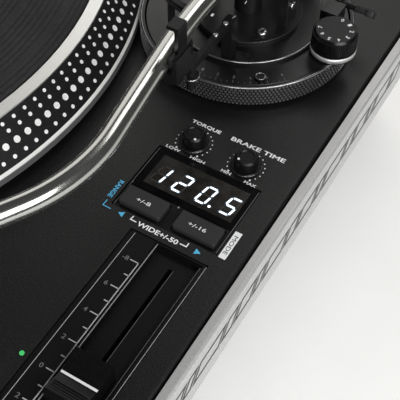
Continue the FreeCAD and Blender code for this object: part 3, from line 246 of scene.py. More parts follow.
def rubber_mat(centre):
    """Rubber mat: fine concentric grooves and a smoother label area."""
    n = Nodes("mat_rubber_grooved")
    radius = n.around(centre)[0]
    wave = n.maths("SINE", n.maths("MULTIPLY", radius, 2 * math.pi / 0.0026))
    outside = n.maths("GREATER_THAN", radius, 0.055)
    broad = n.maths("GREATER_THAN", n.maths("SINE", n.maths("MULTIPLY", radius, 2 * math.pi / 0.018)), -0.9)
    ribs = n.maths("MULTIPLY", n.maths("MULTIPLY", wave, outside), broad)
    dust = n.noise(900, 4)
    n.tint(dust, 0.4, 0.75, (0.005, 0.005, 0.0055), (0.018, 0.018, 0.019))
    n.gloss(30, 0.62, 0.8)
    n.bump(n.maths("ADD", ribs, n.maths("MULTIPLY", dust, 0.3)), 0.55, 0.0004)
    return n.material


def powder_coat():
    """The top cover's coat: near black, fine crystalline grain, a soft sheen."""
    n = Nodes("cover_coat")
    grain = n.noise(2300, 2, roughness=0.4)
    flecks = n.remap(n.noise(1500, 2), 0.58, 0.72, 0, 1)
    base = n.blend(n.remap(grain, 0.35, 0.65, 0, 1), (0.0018, 0.0018, 0.0022), (0.005, 0.0049, 0.0048))
    n.join(n.blend(flecks, base, (0.016, 0.0157, 0.0152)), n.shader.inputs["Base Color"])
    n.gloss(14, 0.37, 0.43, 2)
    n.bump(grain, 0.6, 0.00016)
    n.set(Specular_IOR_Level=0.4)
    return n.material


def circuit_board(name, colour):
    """Laminate with a hint of tracks and solder."""
    n = Nodes(name)
    tracks = n.add("ShaderNodeTexBrick")
    n.join(n.place, tracks.inputs["Vector"])
    tracks.inputs["Scale"].default_value = 160
    tracks.inputs["Color1"].default_value = (*colour, 1)
    tracks.inputs["Color2"].default_value = (*(c * 0.6 for c in colour), 1)
    tracks.inputs["Mortar"].default_value = (*(min(1, c * 2.2) for c in colour), 1)
    tracks.inputs["Mortar Size"].default_value = 0.012
    solder = n.remap(n.noise(420, 2), 0.66, 0.7, 0, 1)
    n.join(n.blend(solder, tracks.outputs["Color"], (0.5, 0.5, 0.48)), n.shader.inputs["Base Color"])
    n.gloss(60, 0.3, 0.45)
    n.bump(n.noise(700), 0.2)
    return n.material


def windings(name, colour):
    """Close turns of enamelled wire, seen edge on."""
    n = Nodes(name)
    bands = n.add("ShaderNodeTexWave", bands_direction="Z")
    n.join(n.place, bands.inputs["Vector"])
    bands.inputs["Scale"].default_value = 900
    bands.inputs["Distortion"].default_value = 1.5
    wire = n.blend(bands.outputs["Fac"], tuple(c * 0.45 for c in colour), colour)
    n.join(wire, n.shader.inputs["Base Color"])
    n.gloss(50, 0.25, 0.4)
    n.bump(bands.outputs["Fac"], 0.5, 0.0002)
    n.set(Metallic=0.9)
    return n.material


def glowing(name, colour, strength):
    n = Nodes(name)
    cells = n.remap(n.noise(900, 2), 0.2, 0.8, 0, 1)
    n.join(n.blend(cells, tuple(c * 0.93 for c in colour), colour), n.shader.inputs["Emission Color"])
    n.set(Emission_Strength=strength, Base_Color=(*colour, 1), Roughness=0.4)
    return n.material


SPINDLE_AXIS = deck(0, 0)
PIVOT_AXIS = deck(*PIVOT)
COVER = powder_coat()
SILVER = grained("frame_silver", (0.5, 0.5, 0.497), 0.45, 0.6, grain=1500, relief=0.22, spread=0.1)
TRAY = grained("tray_moulding", (0.022, 0.022, 0.023), 0.58, grain=1100, relief=0.5)
SATIN = grained("satin_black", (0.009, 0.009, 0.0095), 0.34, grain=1600, relief=0.12)
CASTING = grained("arm_casting", (0.006, 0.006, 0.0065), 0.32, grain=1900, relief=0.12, gloss=0.35)
KNOB = grained("knob_moulding", (0.004, 0.004, 0.0045), 0.28, grain=1500, relief=0.15, gloss=0.22)
KEY = grained("key_moulding", (0.021, 0.021, 0.0215), 0.5, grain=1700, relief=0.3, spread=0.22, gloss=0.3)
RECESS = grained("panel_moulding", (0.0025, 0.0025, 0.003), 0.42, grain=1500, relief=0.15, gloss=0.18)
RUBBER = grained("foot_rubber_skin", (0.016, 0.016, 0.0165), 0.72, grain=800, relief=0.6)
STEEL = brushed("turned_steel", (0.62, 0.62, 0.63), 0.26, (60, 60, 2400))
ZINC = brushed("plated_steel", (0.5, 0.5, 0.48), 0.35, (900, 60, 900))
CHROME = grained("plated_contact", (0.78, 0.78, 0.77), 0.16, 1.0, 700, 0.04, 0.05, vary=0.04)
BRASS = turned("turned_bronze", (0.72, 0.52, 0.26), 0.3, SPINDLE_AXIS)
WHITE_INK = ink("white_print", (0.78, 0.79, 0.8), 0.55, 0.06)
# Grey print; also the grey line on the side frame as painted groove shade.
GREY_PRINT_AND_GROOVE_SHADE = ink("grey_print_and_groove_shade", (0.4, 0.4, 0.41), 0.5, 0.08)
# Faint grey for small print, also used for painted edge highlights along the fader trough and slot.
FAINT_PRINT_AND_EDGE_HIGHLIGHT = ink("faint_print_and_edge_highlight", (0.13, 0.13, 0.135), 0.5, 0.1)
BLUE_INK = ink("blue_print", (0.08, 0.42, 0.68), 0.5, 0.06)
# Dark print; also flat dark marks for screw slots and grooves as painted shade.
DARK_PRINT_AND_PAINTED_SHADE = ink("dark_print_and_painted_shade", (0.01, 0.01, 0.0105), 0.5, 0.1)
DOT_SILVER = grained("strobe_dot_silver", (0.85, 0.85, 0.84), 0.5, 0.1, grain=1600, relief=0.3, spread=0.16)
STUDS = grained("stud_coat", (0.28, 0.28, 0.285), 0.3, 0.9, grain=1500, relief=0.05, spread=0.15)
# Dark plated metal for real plated parts; also thin bands laid on black edges as painted edge highlights.
DARK_PLATING_AND_EDGE_HIGHLIGHT = grained("dark_plating_and_edge_highlight", (0.26, 0.26, 0.265), 0.25, 0.9, grain=1200, relief=0.05, spread=0.1)
TUBE = grained("arm_tube_coat", (0.44, 0.44, 0.42), 0.17, 0.95, grain=300, relief=0.0, spread=0.04, vary=0.02)
GLASS = grained("smoked_window", (0.002, 0.002, 0.0025), 0.12, grain=500, relief=0.01, vary=0.02, gloss=0.3)
RED = grained("red_lens", (0.42, 0.015, 0.01), 0.15, grain=600, relief=0.05)

SHARED_FINISHES = (
    (COVER, "top_cover"), (SILVER, "side_frame"), (TRAY, "base_tray"), (ZINC, "bottom_screws"),
    (BRASS, "bearing_housing"), (RECESS, "display_panel"), (GLASS, "display_window"),
    (RED, "strobe_lens"), (TUBE, "arm_tube"), (CHROME, "phono_sockets usb_socket ground_terminal"),
    (CASTING, "arm_base height_ring gimbal_bracket arm_rest cue_lever cue_lift weight_hub"),
    (SATIN, "strobe_tower headshell power_switch"),
    (STEEL, "gimbal_ring headshell_collar rear_shaft target_light"),
    (KNOB, "rest_clip anti_skate_dial weight_dial torque_knob brake_knob fader_cap"),
    (KEY, "range_8_button range_16_button start_stop_button speed_33_button speed_45_button"),
    (RUBBER, "foot_front_left foot_front_right foot_rear_left foot_rear_right"),
)
FINISHES = {
    "bottom_plate": grained("painted_plate", (0.03, 0.03, 0.031), 0.5, 0.1, grain=900, relief=0.4),
    "motor_well": grained("painted_well", (0.02, 0.02, 0.021), 0.5, grain=900, relief=0.3),
    "motor_board": circuit_board("motor_laminate", (0.03, 0.12, 0.05)),
    "stator_coils": windings("copper_windings", (0.72, 0.34, 0.14)),
    "main_board": circuit_board("main_laminate", (0.02, 0.1, 0.045)),
    "power_supply": circuit_board("supply_laminate", (0.16, 0.1, 0.03)),
    "display_module": grained("module_plastic", (0.03, 0.022, 0.014), 0.3, grain=900, relief=0.1),
    "fader_panel": grained("fader_plate", (0.003, 0.003, 0.0036), 0.38, grain=1800, relief=0.14, gloss=0.2),
    "fader_track": grained("track_plastic", (0.015, 0.015, 0.015), 0.5),
    "rear_panel": grained("rear_plate", (0.018, 0.018, 0.019), 0.45, 0.1, grain=1000, relief=0.35),
    "mains_inlet": grained("inlet_plastic", (0.012, 0.012, 0.012), 0.45),
    "platter": platter_metal(SPINDLE_AXIS),
    "platter_mat": rubber_mat(SPINDLE_AXIS),
    "spindle": turned("spindle_steel", (0.78, 0.78, 0.79), 0.15, SPINDLE_AXIS, pitch=0.0001, relief=0.06),
    "rotor_magnet": grained("ferrite", (0.05, 0.05, 0.052), 0.55, 0.2, grain=900),
    "arm_platform": turned("platform_coat", (0.004, 0.004, 0.0045), 0.3, PIVOT_AXIS, 0.1, 0.0004, 0.05),
    "cartridge": grained("cartridge_shell", (0.015, 0.015, 0.016), 0.22, grain=900, relief=0.05, coat=0.3),
    "stylus": grained("stylus_shell", (0.55, 0.55, 0.52), 0.3, grain=900, relief=0.05),
    "counterweight": grained("weight_coat", (0.016, 0.016, 0.017), 0.33, 0.2, grain=1600, relief=0.12),
}
for finish, names in SHARED_FINISHES:
    for name in names.split():
        FINISHES[name] = finish
missing = sorted(set(NODES) - set(FINISHES))
if missing:
    raise RuntimeError(f"nodes with no finish: {missing}")
for name, finish in FINISHES.items():
    NODES[name].data.materials.clear()
    NODES[name].data.materials.append(finish)


# ---- Mesh pieces ----
ON_AXIS = 0.0001           # radius of a turned outline's points on its own axis


def band(inner, outer, low, high):
    """Outline of a plain band for Piece.ring; a plug when its inner radius is ON_AXIS."""
    return [(inner, low), (outer, low), (outer, high), (inner, high)]


def hoop(inner, outer, at, foot, crest):
    """Outline of a raised line for Piece.ring, with half widths at its foot and crest."""
    return [(inner, at - foot), (outer, at - crest), (outer, at + crest), (inner, at + foot)]


def rectangle(x0, x1, y0, y1):
    return [(x0, y0), (x1, y0), (x1, y1), (x0, y1)]


def turned_point(radius, angle, z):
    return Vector((radius * math.cos(angle), radius * math.sin(angle), z))


class Piece:
    """Collects small solids into one mesh object that rides on a body.  Lengths in millimetres."""

    def __init__(self, name, body, finish, slot):
        self.name, self.body, self.finish, self.slot = name, body, finish, slot
        self.mesh = bmesh.new()

    def prism(self, outline, low, high, matrix=UNMOVED):
        """A solid over a closed outline of (x, y) points, between two heights of the matrix's frame."""
        bottom = [self.mesh.verts.new(matrix @ Vector((x, y, low))) for x, y in outline]
        top = [self.mesh.verts.new(matrix @ Vector((x, y, high))) for x, y in outline]
        count = len(outline)
        self.mesh.faces.new(top)
        self.mesh.faces.new(list(reversed(bottom)))
        for i in range(count):
            j = (i + 1) % count
            self.mesh.faces.new((bottom[i], bottom[j], top[j], top[i]))

    def disc(self, x, y, radius, low, high, matrix=UNMOVED, sides=20):
        turns = [2 * math.pi * i / sides for i in range(sides)]
        self.prism([(x + radius * math.cos(t), y + radius * math.sin(t)) for t in turns], low, high, matrix)

    def block(self, x0, x1, y0, y1, low, high, matrix=UNMOVED):
        self.prism(rectangle(x0, x1, y0, y1), low, high, matrix)

    def flutes(self, place, count, outline, low, high):
        """A ring of equal ribs: an outline (inner x, outer x, inner half width, outer half width)."""
        inner, outer, foot, tip = outline
        for i in range(count):
            rib = [(inner, -foot), (outer, -tip), (outer, tip), (inner, foot)]
            self.prism(rib, low, high, place @ spin("Z", 360 * i / count))

    def line(self, points, width, low, high, matrix=UNMOVED, closed=False):
        """A flat line of constant width through points, with mitred corners."""
        count = len(points)
        left, right = [], []
        for i, (x, y) in enumerate(points):
            before = points[i - 1] if i or closed else None
            after = points[(i + 1) % count] if i < count - 1 or closed else None
            into = Vector((x - before[0], y - before[1])).normalized() if before else None
            out = Vector((after[0] - x, after[1] - y)).normalized() if after else None
            into, out = into or out, out or into
            normal = Vector((-into.y - out.y, into.x + out.x)).normalized()
            reach = width / 2 / max(0.35, normal.dot(Vector((-into.y, into.x))))
            left.append((x + normal.x * reach, y + normal.y * reach))
            right.append((x - normal.x * reach, y - normal.y * reach))
        for i in range(count if closed else count - 1):
            j = (i + 1) % count
            self.prism([right[i], right[j], left[j], left[i]], low, high, matrix)

    def ring(self, profile, matrix=UNMOVED, sides=96):
        """A solid turned about the matrix's Z axis from a closed outline of (radius, height) points."""
        loops = []
        for i in range(sides):
            t = 2 * math.pi * i / sides
            loops.append([self.mesh.verts.new(matrix @ turned_point(r, t, z)) for r, z in profile])
        count = len(profile)
        for i in range(sides):
            for k in range(count):
                m = (k + 1) % count
                a, b = loops[i], loops[(i + 1) % sides]
                self.mesh.faces.new((a[k], b[k], b[m], a[m]))

    def tube(self, points, radius, sides=12):
        """A round rod along points, capped at both ends."""
        points = [Vector(p) for p in points]
        loops = []
        side = None
        for i, p in enumerate(points):
            along = (points[min(i + 1, len(points) - 1)] - points[max(i - 1, 0)]).normalized()
            if side is None:
                side = along.orthogonal().normalized()
            side = (side - along * side.dot(along)).normalized()
            other = along.cross(side)
            turns = [2 * math.pi * k / sides for k in range(sides)]
            rim = [p + side * radius * math.cos(t) + other * radius * math.sin(t) for t in turns]
            loops.append([self.mesh.verts.new(place) for place in rim])
        for a, b in zip(loops, loops[1:]):
            for k in range(sides):
                self.mesh.faces.new((a[k], a[(k + 1) % sides], b[(k + 1) % sides], b[k]))
        self.mesh.faces.new(list(reversed(loops[0])))
        self.mesh.faces.new(loops[-1])

    def text(self, words, box, low, high, matrix=UNMOVED, bold=0.02, upright=True):
        """Lettering fitted to a box (x0, x1, y0, y1) of the matrix's frame; sideways if not upright."""
        curve = bpy.data.curves.new("letters", "FONT")
        curve.body = words
        curve.offset = bold
        curve.resolution_u = 3
        holder = bpy.data.objects.new("letters", curve)
        flat = bpy.data.meshes.new_from_object(holder)
        xs = [v.co.x for v in flat.vertices]
        ys = [v.co.y for v in flat.vertices]
        x0, x1, y0, y1 = box
        wide, tall = (x1 - x0, y1 - y0) if upright else (y1 - y0, x1 - x0)
        fit = Matrix.Diagonal((wide / (max(xs) - min(xs)), tall / (max(ys) - min(ys)), 1, 1))
        fit = fit @ Matrix.Translation((-min(xs), -min(ys), 0))
        if not upright:
            fit = shift(0, y1 - y0, 0) @ spin("Z", -90) @ fit
        fit = shift(x0, y0, 0) @ fit
        for polygon in flat.polygons:
            outline = [(fit @ flat.vertices[v].co).xy[:] for v in polygon.vertices]
            self.prism(outline, low, high, matrix)
        bpy.data.objects.remove(holder)
        bpy.data.meshes.remove(flat)
        bpy.data.curves.remove(curve)

    def done(self, smooth=False, scale=MM, bevel=0.0):
        mesh = bpy.data.meshes.new(self.name)
        for vertex in self.mesh.verts:
            vertex.co *= scale
        if smooth:
            for face in self.mesh.faces:
                face.smooth = True
        self.mesh.normal_update()
        self.mesh.to_mesh(mesh)
        self.mesh.free()
        mesh.materials.append(self.finish)
        piece = bpy.data.objects.new(self.name, mesh)
        bpy.context.scene.collection.objects.link(piece)
        if bevel:
            rounding = piece.modifiers.new("edges", "BEVEL")
            rounding.width = bevel * MM
            rounding.segments = 2
        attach(piece, self.body)
        return piece


def turned_piece(name, body, finish, slot, outline, place, sides):
    """A smooth piece of one turned outline."""
    piece = Piece(name, body, finish, slot)
    piece.ring(outline, place, sides)
    piece.done(smooth=True)


def clockwise(angle, radius):
    """A point at a clock angle: 0 is the back, positive to the right."""
    t = math.radians(angle)
    return radius * math.sin(t), radius * math.cos(t)


# ---- Platter: four rows of strobe dots on the bevel ----
BEVEL_HEAD = (154.0, 22.1)
BEVEL_FOOT = (166.3, 7.6)
BEVEL_SLOPE = math.atan2(BEVEL_HEAD[1] - BEVEL_FOOT[1], BEVEL_FOOT[0] - BEVEL_HEAD[0])


def strobe_dots():
    piece = Piece("strobe_dots", "platter", DOT_SILVER, "platter_metal")
    rows = [(155.75, 170, 0.8), (157.9, 174, 0.85), (160.8, 180, 1.42), (164.0, 186, 0.85)]
    for radius, count, size in rows:
        z = BEVEL_HEAD[1] - (radius - BEVEL_HEAD[0]) * math.tan(BEVEL_SLOPE)
        for i in range(count):
            spot = on_deck(turn=360 * i / count) @ shift(radius, 0, z)
            spot = spot @ Matrix.Rotation(BEVEL_SLOPE, 4, "Y")
            piece.disc(0, 0, size, 0.0, 0.06, spot, 14)
    piece.done()


# ---- Printing on the cover, display and right-hand controls ----
PANEL = (200.0, 246.2, -26.4, 8.0)
PANEL_FACE = -0.5
WINDOW_TOP = -0.3
RANGE_KEYS = {"range_8_button": ("+/-8", (207.7, 213.9, -21.5, -19.8)),
              "range_16_button": ("+/-16", (230.6, 238.2, -21.2, -19.5))}
KEY_TOP = 1.5
KNOBS = {"torque_knob": (211.0, 143.0), "brake_knob": (235.0, -143.0)}     # x, clock angle of the pointer
KNOB_Y = 16.4


def cover_print():
    white = Piece("cover_lettering", "plinth", WHITE_INK, "black_cover")
    labels = [("TORQUE", (204.2, 217.7, 25.3, 27.4)), ("BRAKE TIME", (222.9, 247.3, 25.3, 27.4)),
              ("LOW", (202.2, 208.6, 8.7, 10.1)), ("HIGH", (213.6, 220.2, 8.4, 9.8)),
              ("MIN", (227.6, 231.9, 8.8, 10.2)), ("MAX", (238.2, 243.4, 8.3, 9.7)),
              ("WIDE+/-50", (213.7, 231.4, -30.4, -28.2))]
    for words, box in labels:
        white.text(words, box, 0, INK, DECK, bold=0.022 if box[3] - box[2] > 1.8 else 0.01)
    left_hook = [(210.6, -27.3), (210.4, -29.2), (213.0, -29.2)]
    right_hook = [(232.2, -29.2), (235.0, -29.2), (235.0, -27.3)]
    for points in (left_hook, right_hook):
        white.line(points, 0.45, 0, INK, DECK)
    for centre, _ in KNOBS.values():
        for i in range(17):
            x, y = clockwise(-140 + 17.5 * i, 7.5)
            white.disc(centre + x, KNOB_Y + y, 0.42 if i in (0, 8, 16) else 0.27, 0, INK, DECK, 12)
    white.block(247.2, 250.1, -27.0, -13.6, 0, INK, DECK)
    white.done()

    dark = Piece("mode_lettering", "plinth", DARK_PRINT_AND_PAINTED_SHADE, "black_cover")
    dark.text("MODE", (247.8, 249.5, -25.0, -15.6), INK, 2 * INK, DECK, bold=0.0, upright=False)
    dark.done()

    blue = Piece("blue_lettering", "plinth", BLUE_INK, "black_cover")
    blue.text("RANGE", (196.4, 198.4, -24.3, -15.2), 0, INK, DECK, upright=False)
    blue.line([(197.6, -25.9), (197.5, -28.8), (201.2, -28.9)], 0.35, 0, INK, DECK)
    blue.prism([(204.5, -28.8), (206.9, -30.1), (206.9, -27.5)], 0, INK, DECK)
    blue.prism([(238.7, -27.9), (238.7, -30.5), (241.1, -29.2)], 0, INK, DECK)
    blue.done()


def display():
    x0, x1, y0, y1 = PANEL
    rim = Piece("panel_outline", "plinth", FAINT_PRINT_AND_EDGE_HIGHLIGHT, "panel_black")
    for x, width in ((x1 - 0.5, 0.22), (x0 + 0.5, 0.14)):
        rim.line([(x, y0 + 0.6), (x, y1 - 0.6)], width, PANEL_FACE, PANEL_FACE + 0.04, DECK)
    rim.done()

    module = Nodes("segment_module")
    cells = module.noise(260, 2)
    brown = module.blend(cells, (0.0024, 0.0017, 0.001), (0.0065, 0.0048, 0.0026))
    module.join(brown, module.shader.inputs["Base Color"])
    module.join(module.remap(cells, 0.3, 0.7, 0.2, 0.3), module.shader.inputs["Roughness"])
    plate = Piece("segment_plate", "plinth", module.material, "display_module")
    plate.block(204.2, 243.4, -11.0, 5.0, WINDOW_TOP, WINDOW_TOP + 0.02, DECK)
    plate.done()

    lit = Piece("lit_segments", "plinth", glowing("segment_white", (0.84, 0.92, 1.0), 1.1), "display_module")
    glow = glowing("segment_glow", (0.05, 0.075, 0.11), 0.5)
    halo = Piece("segment_halo", "plinth", glow, "display_module")
    unlit = Nodes("segment_dark")
    brown = unlit.blend(unlit.noise(700, 2), (0.009, 0.007, 0.004), (0.015, 0.012, 0.007))
    unlit.join(brown, unlit.shader.inputs["Base Color"])
    unlit.set(Roughness=0.4)
    dark = Piece("dark_segments", "plinth", unlit.material, "display_module")
    patterns = {"1": "bc", "2": "abged", "0": "abcdef", "5": "afgcd"}
    lift = WINDOW_TOP + 0.02
    for left, digit in ((205.0, "1"), (214.7, "2"), (225.4, "0"), (236.1, "5")):
        for letter, outline in segments(left, -9.0, 5.2, 9.4, 1.0):
            on = letter in patterns[digit]
            (lit if on else dark).prism(outline, lift + 0.02, lift + 0.04, DECK)
            if on:
                halo.prism(grown(outline, 0.55), lift, lift + 0.015, DECK)
    lit.disc(232.6, -8.5, 0.62, lift + 0.02, lift + 0.04, DECK, 16)
    for piece in (lit, halo, dark):
        piece.done()

    lamps = Piece("range_lamps", "plinth", GREY_PRINT_AND_GROOVE_SHADE, "display_module")
    for x, y in ((222.8, -14.8), (201.0, -13.0)):
        lamps.disc(x, y, 0.3, PANEL_FACE, PANEL_FACE + 0.08, DECK, 14)
    lamps.done()


def segments(left, low, wide, tall, thick):
    """Outlines of a seven-segment digit's bars, leaning to the right."""
    lean = math.tan(math.radians(11.5))
    half, gap = thick / 2, 0.24
    x0, x1 = half, wide - half
    y0, y1, y2 = half, tall / 2, tall - half
    bars = {"a": ((x0, y2), (x1, y2)), "b": ((x1, y1), (x1, y2)), "c": ((x1, y0), (x1, y1)),
            "d": ((x0, y0), (x1, y0)), "e": ((x0, y0), (x0, y1)), "f": ((x0, y1), (x0, y2)),
            "g": ((x0, y1), (x1, y1))}
    for letter, ((ax, ay), (bx, by)) in bars.items():
        along = Vector((bx - ax, by - ay)).normalized()
        across = Vector((-along.y, along.x))
        a = Vector((ax, ay)) + along * gap
        b = Vector((bx, by)) - along * gap
        ends = [a, a + (along + across) * half * 0.9, b - (along - across) * half * 0.86, b,
                b - (along + across) * half * 0.86, a + (along - across) * half * 0.86]
        yield letter, [(left + p.x + p.y * lean, low + p.y) for p in reversed(ends)]


def grown(outline, amount):
    """An outline moved outwards from its middle."""
    cx = sum(x for x, y in outline) / len(outline)
    cy = sum(y for x, y in outline) / len(outline)
    result = []
    for x, y in outline:
        away = Vector((x - cx, y - cy))
        away = away.normalized() * (away.length + amount)
        result.append((cx + away.x, cy + away.y))
    return result


def key_print():
    for body, (words, box) in RANGE_KEYS.items():
        piece = Piece(f"{body}_print", body, WHITE_INK, "key_dark")
        piece.text(words, box, KEY_TOP, KEY_TOP + INK, DECK, bold=0.004)
        piece.done()


def knob_details():
    for body, (x, pointer) in KNOBS.items():
        centre = on_deck(x, KNOB_Y)
        flutes = Piece(f"{body}_flutes", body, KNOB, "knob_black")
        flutes.flutes(centre, 28, (4.5, 4.8, 0.24, 0.13), 1.4, 4.8)
        flutes.done()
        # The thin grey metal band round each knob's foot is a painted highlight on the foot's edge.
        rim = band(6.15, 6.27, 0.5, 0.75)
        turned_piece(f"{body}_foot_highlight", body, DARK_PLATING_AND_EDGE_HIGHLIGHT, "knob_black", rim, centre, 64)
        mark = Piece(f"{body}_pointer", body, WHITE_INK, "knob_black")
        mark.disc(*clockwise(pointer, 3.5), 0.5, 5.4, 5.95, centre, 16)
        mark.done()


FADER_FRONT, FADER_BACK = -157.6, -32.6
FADER_FACE = -0.4
FADER_X = 234.4            # trough and cap
FADER_ZERO = -95.1         # y of the middle of the scale
FADER_STEP = 12.715        # between two numbers of the scale


def fader_details():
    printed = (FADER_FACE, FADER_FACE + INK, DECK)
    lines = Piece("fader_lines", "plinth", GREY_PRINT_AND_GROOVE_SHADE, "fader_dark")
    for x, width in ((215.2, 0.22), (225.2, 0.2)):
        lines.block(x - width / 2, x + width / 2, FADER_FRONT + 1, FADER_BACK - 0.8, *printed)
    lines.block(245.75, 245.97, FADER_FRONT + 1, FADER_BACK - 0.4, *printed)
    for i in range(17):
        y = FADER_ZERO + (8 - i) * FADER_STEP / 2
        left = 220.2 if i % 2 == 0 else 221.7
        lines.block(left, 223.9, y - 0.2, y + 0.2, *printed)
    lines.block(223.6, 224.0, -146.16, -44.04, *printed)
    lines.done()
    digits = Piece("fader_numbers", "plinth", FAINT_PRINT_AND_EDGE_HIGHLIGHT, "fader_dark")
    for i, words in enumerate(("-8", "6", "4", "2", "0", "2", "4", "6", "+8")):
        y = FADER_ZERO + (4 - i) * FADER_STEP
        half = 0.7 if len(words) == 1 else 1.25
        digits.text(words, (218.3 - half, 218.3 + half, y - 0.95, y + 0.95), *printed, bold=0.01)
    digits.done()
    # The three faint lines along the trough's edges and the slot's right edge are painted edge highlights,
    # not print.
    light = Piece("fader_edge_highlight", "plinth", FAINT_PRINT_AND_EDGE_HIGHLIGHT, "fader_dark")
    light.block(243.75, 243.95, -156.2, -34.0, -1.2, -1.15, DECK)
    light.block(235.38, 235.52, -150.6, -39.3, -3.0, -2.96, DECK)
    light.block(224.5, 224.62, -156.2, -33.9, -1.2, -1.15, DECK)
    light.done()
    lamp = Piece("zero_lamp", "plinth", glowing("lamp_green", (0.05, 0.45, 0.12), 0.35), "fader_dark")
    lamp.disc(210.2, FADER_ZERO, 0.9, 0, 0.25, DECK, 20)
    lamp.done()
    at_zero = on_deck(FADER_X, FADER_ZERO)
    cap = Piece("fader_cap_line", "fader_cap", WHITE_INK, "cap_black")
    cap.block(-7.25, 7.25, -0.45, 0.45, 4.4, 4.45, at_zero)
    cap.done()
    grips = Piece("fader_cap_grips", "fader_cap", KNOB, "cap_black")
    for side in (-1, 1):
        for i in range(5):
            y = side * (4.4 + i)
            rise = i * 0.32
            grips.block(-6.6, 6.6, y - 0.22, y + 0.22, 5.3 + rise, 6.15 + rise, at_zero)
    grips.done()


# ---- Side frame: a generic ornament of outlined slanted bars on both long sides ----
def side_ornament():
    piece = Piece("side_bars", "plinth", DARK_PRINT_AND_PAINTED_SHADE, "silver_frame")
    # The grey line along each side is painted shade of a groove in the silver frame.
    groove = Piece("side_groove_shade", "plinth", GREY_PRINT_AND_GROOVE_SHADE, "silver_frame")
    low, high, lean, gap = -14.6, -7.0, 5.0, 2.6
    widths = (13, 5, 17, 7, 11, 5, 15, 8)
    for side in (1, -1):
        face = shift(side * HALF_LENGTH, 0, DECK_Z) @ spin("Z", side * 90) @ spin("X", 90)
        start = -92.0
        for width in widths * 2:
            end = start + width
            outline = [(start, low), (end, low), (end + lean, high), (start + lean, high)]
            piece.line(outline, 1.3, 0, 0.06, face, closed=True)
            start += width + gap
        groove.block(-166, 166, -15.9, -15.6, 0, 0.05, face)
    piece.done()
    groove.done()


# ---- Tonearm base and arm ----
def pyramid_band(piece, matrix, radius, low, rows, pitch, count, height):
    """Staggered rows of small pyramids round a cylinder."""
    half = 0.84 * math.pi / count
    for row in range(rows):
        middle = low + (row + 1) * pitch
        tall = pitch - 0.16
        for i in range(count):
            t = 2 * math.pi * (i + 0.5 * (row % 2)) / count
            places = ((t - half, middle), (t, middle - tall), (t + half, middle), (t, middle + tall))
            foot = [piece.mesh.verts.new(matrix @ turned_point(radius, a, z)) for a, z in places]
            peak = piece.mesh.verts.new(matrix @ turned_point(radius + height, t, middle))
            for k in range(4):
                piece.mesh.faces.new((foot[k], foot[(k + 1) % 4], peak))


def stud_band(piece, matrix, radius, low, rows, pitch, count, height):
    """Staggered rows of square studs with sloped sides round a cylinder."""
    half = 0.34 * 2 * math.pi / count
    for row in range(rows):
        foot, head = low + (row + 0.2) * pitch, low + (row + 0.8) * pitch
        for i in range(count):
            t = 2 * math.pi * (i + row / 2) / count
            rings = []
            for reach, shrink in ((radius, 0.0), (radius + height, 0.32)):
                left, right = t - half * (1 - shrink), t + half * (1 - shrink)
                rise = shrink * (head - foot) / 2
                places = rectangle(left, right, foot + rise, head - rise)
                rings.append([piece.mesh.verts.new(matrix @ turned_point(reach, a, z)) for a, z in places])
            base, top = rings
            piece.mesh.faces.new(top)
            for k in range(4):
                piece.mesh.faces.new((base[k], base[(k + 1) % 4], top[(k + 1) % 4], top[k]))


def arm_base_details():
    hub = on_deck(*PIVOT)
    knurl = Piece("height_ring_knurl", "height_ring", STUDS, "ring_black")
    stud_band(knurl, hub, 47.3, 1.6, 6, 1.45, 180, 0.4)
    knurl.done()
    # The grey metal lip on the height ring's top edge is a painted highlight arc.
    lip = [(46.4, 10.95), (47.25, 10.45), (47.42, 10.55), (46.7, 11.12)]
    turned_piece("height_ring_lip_highlight", "height_ring", DARK_PLATING_AND_EDGE_HIGHLIGHT, "ring_black", lip, hub, 240)
    platform = 10.4
    marks = Piece("height_marks", "arm_mount", FAINT_PRINT_AND_EDGE_HIGHLIGHT, "arm_dark")
    for i in range(19):
        length = 1.5 if i % 3 == 0 else 0.8
        spoke = on_deck(*PIVOT, platform, 262 + i * 3.2)
        marks.block(44.0 - length, 44.0, -0.1, 0.1, 0, INK, spoke)
    for i in range(7):
        spoke = on_deck(*PIVOT, platform, 262 + i * 9.6) @ shift(40.6, 0, 0) @ spin("Z", 90)
        marks.text(str(i), (-0.5, 0.5, -0.75, 0.75), 0, INK, spoke, bold=0.0)
    marks.done()
    step = [(33.0, 12.36), (33.55, 11.85), (33.7, 11.95), (33.1, 12.5)]
    turned_piece("platform_edge", "arm_mount", DARK_PLATING_AND_EDGE_HIGHLIGHT, "arm_dark", step, hub, 128)
    lock = [(1.55, 12.15), (2.35, 12.15), (2.2, 12.45), (1.7, 12.45)]
    screw = on_deck(PIVOT[0] + 24.5, PIVOT[1] - 33.5)
    turned_piece("lock_screw_ring", "arm_mount", DARK_PLATING_AND_EDGE_HIGHLIGHT, "arm_dark", lock, screw, 40)


def anti_skate_details():
    centre = (239.2, 84.0)
    ribs = Piece("anti_skate_ribs", "anti_skate_dial", KNOB, "knob_black")
    ribs.flutes(on_deck(*centre), 76, (9.0, 9.62, 0.24, 0.1), 14.5, 21.0)
    ribs.done()
    rim = band(9.7, 9.88, 11.5, 13.8)
    turned_piece("anti_skate_band", "anti_skate_dial", SILVER, "knob_black", rim, on_deck(*centre), 96)
    marks = Piece("anti_skate_numbers", "anti_skate_dial", WHITE_INK, "knob_black")
    for i in range(8):
        spoke = on_deck(*centre, 22.0, 90 - i * 36) @ shift(6.6, 0, 0) @ spin("Z", -90)
        marks.text(str(i), (-0.6, 0.6, -0.9, 0.9), 0, INK, spoke, bold=0.01)
    marks.done()


def ahead(heading):
    turn = math.radians(heading)
    return Vector((math.sin(turn), -math.cos(turn)))


def rightward(heading):
    turn = math.radians(heading)
    return Vector((math.cos(turn), math.sin(turn)))


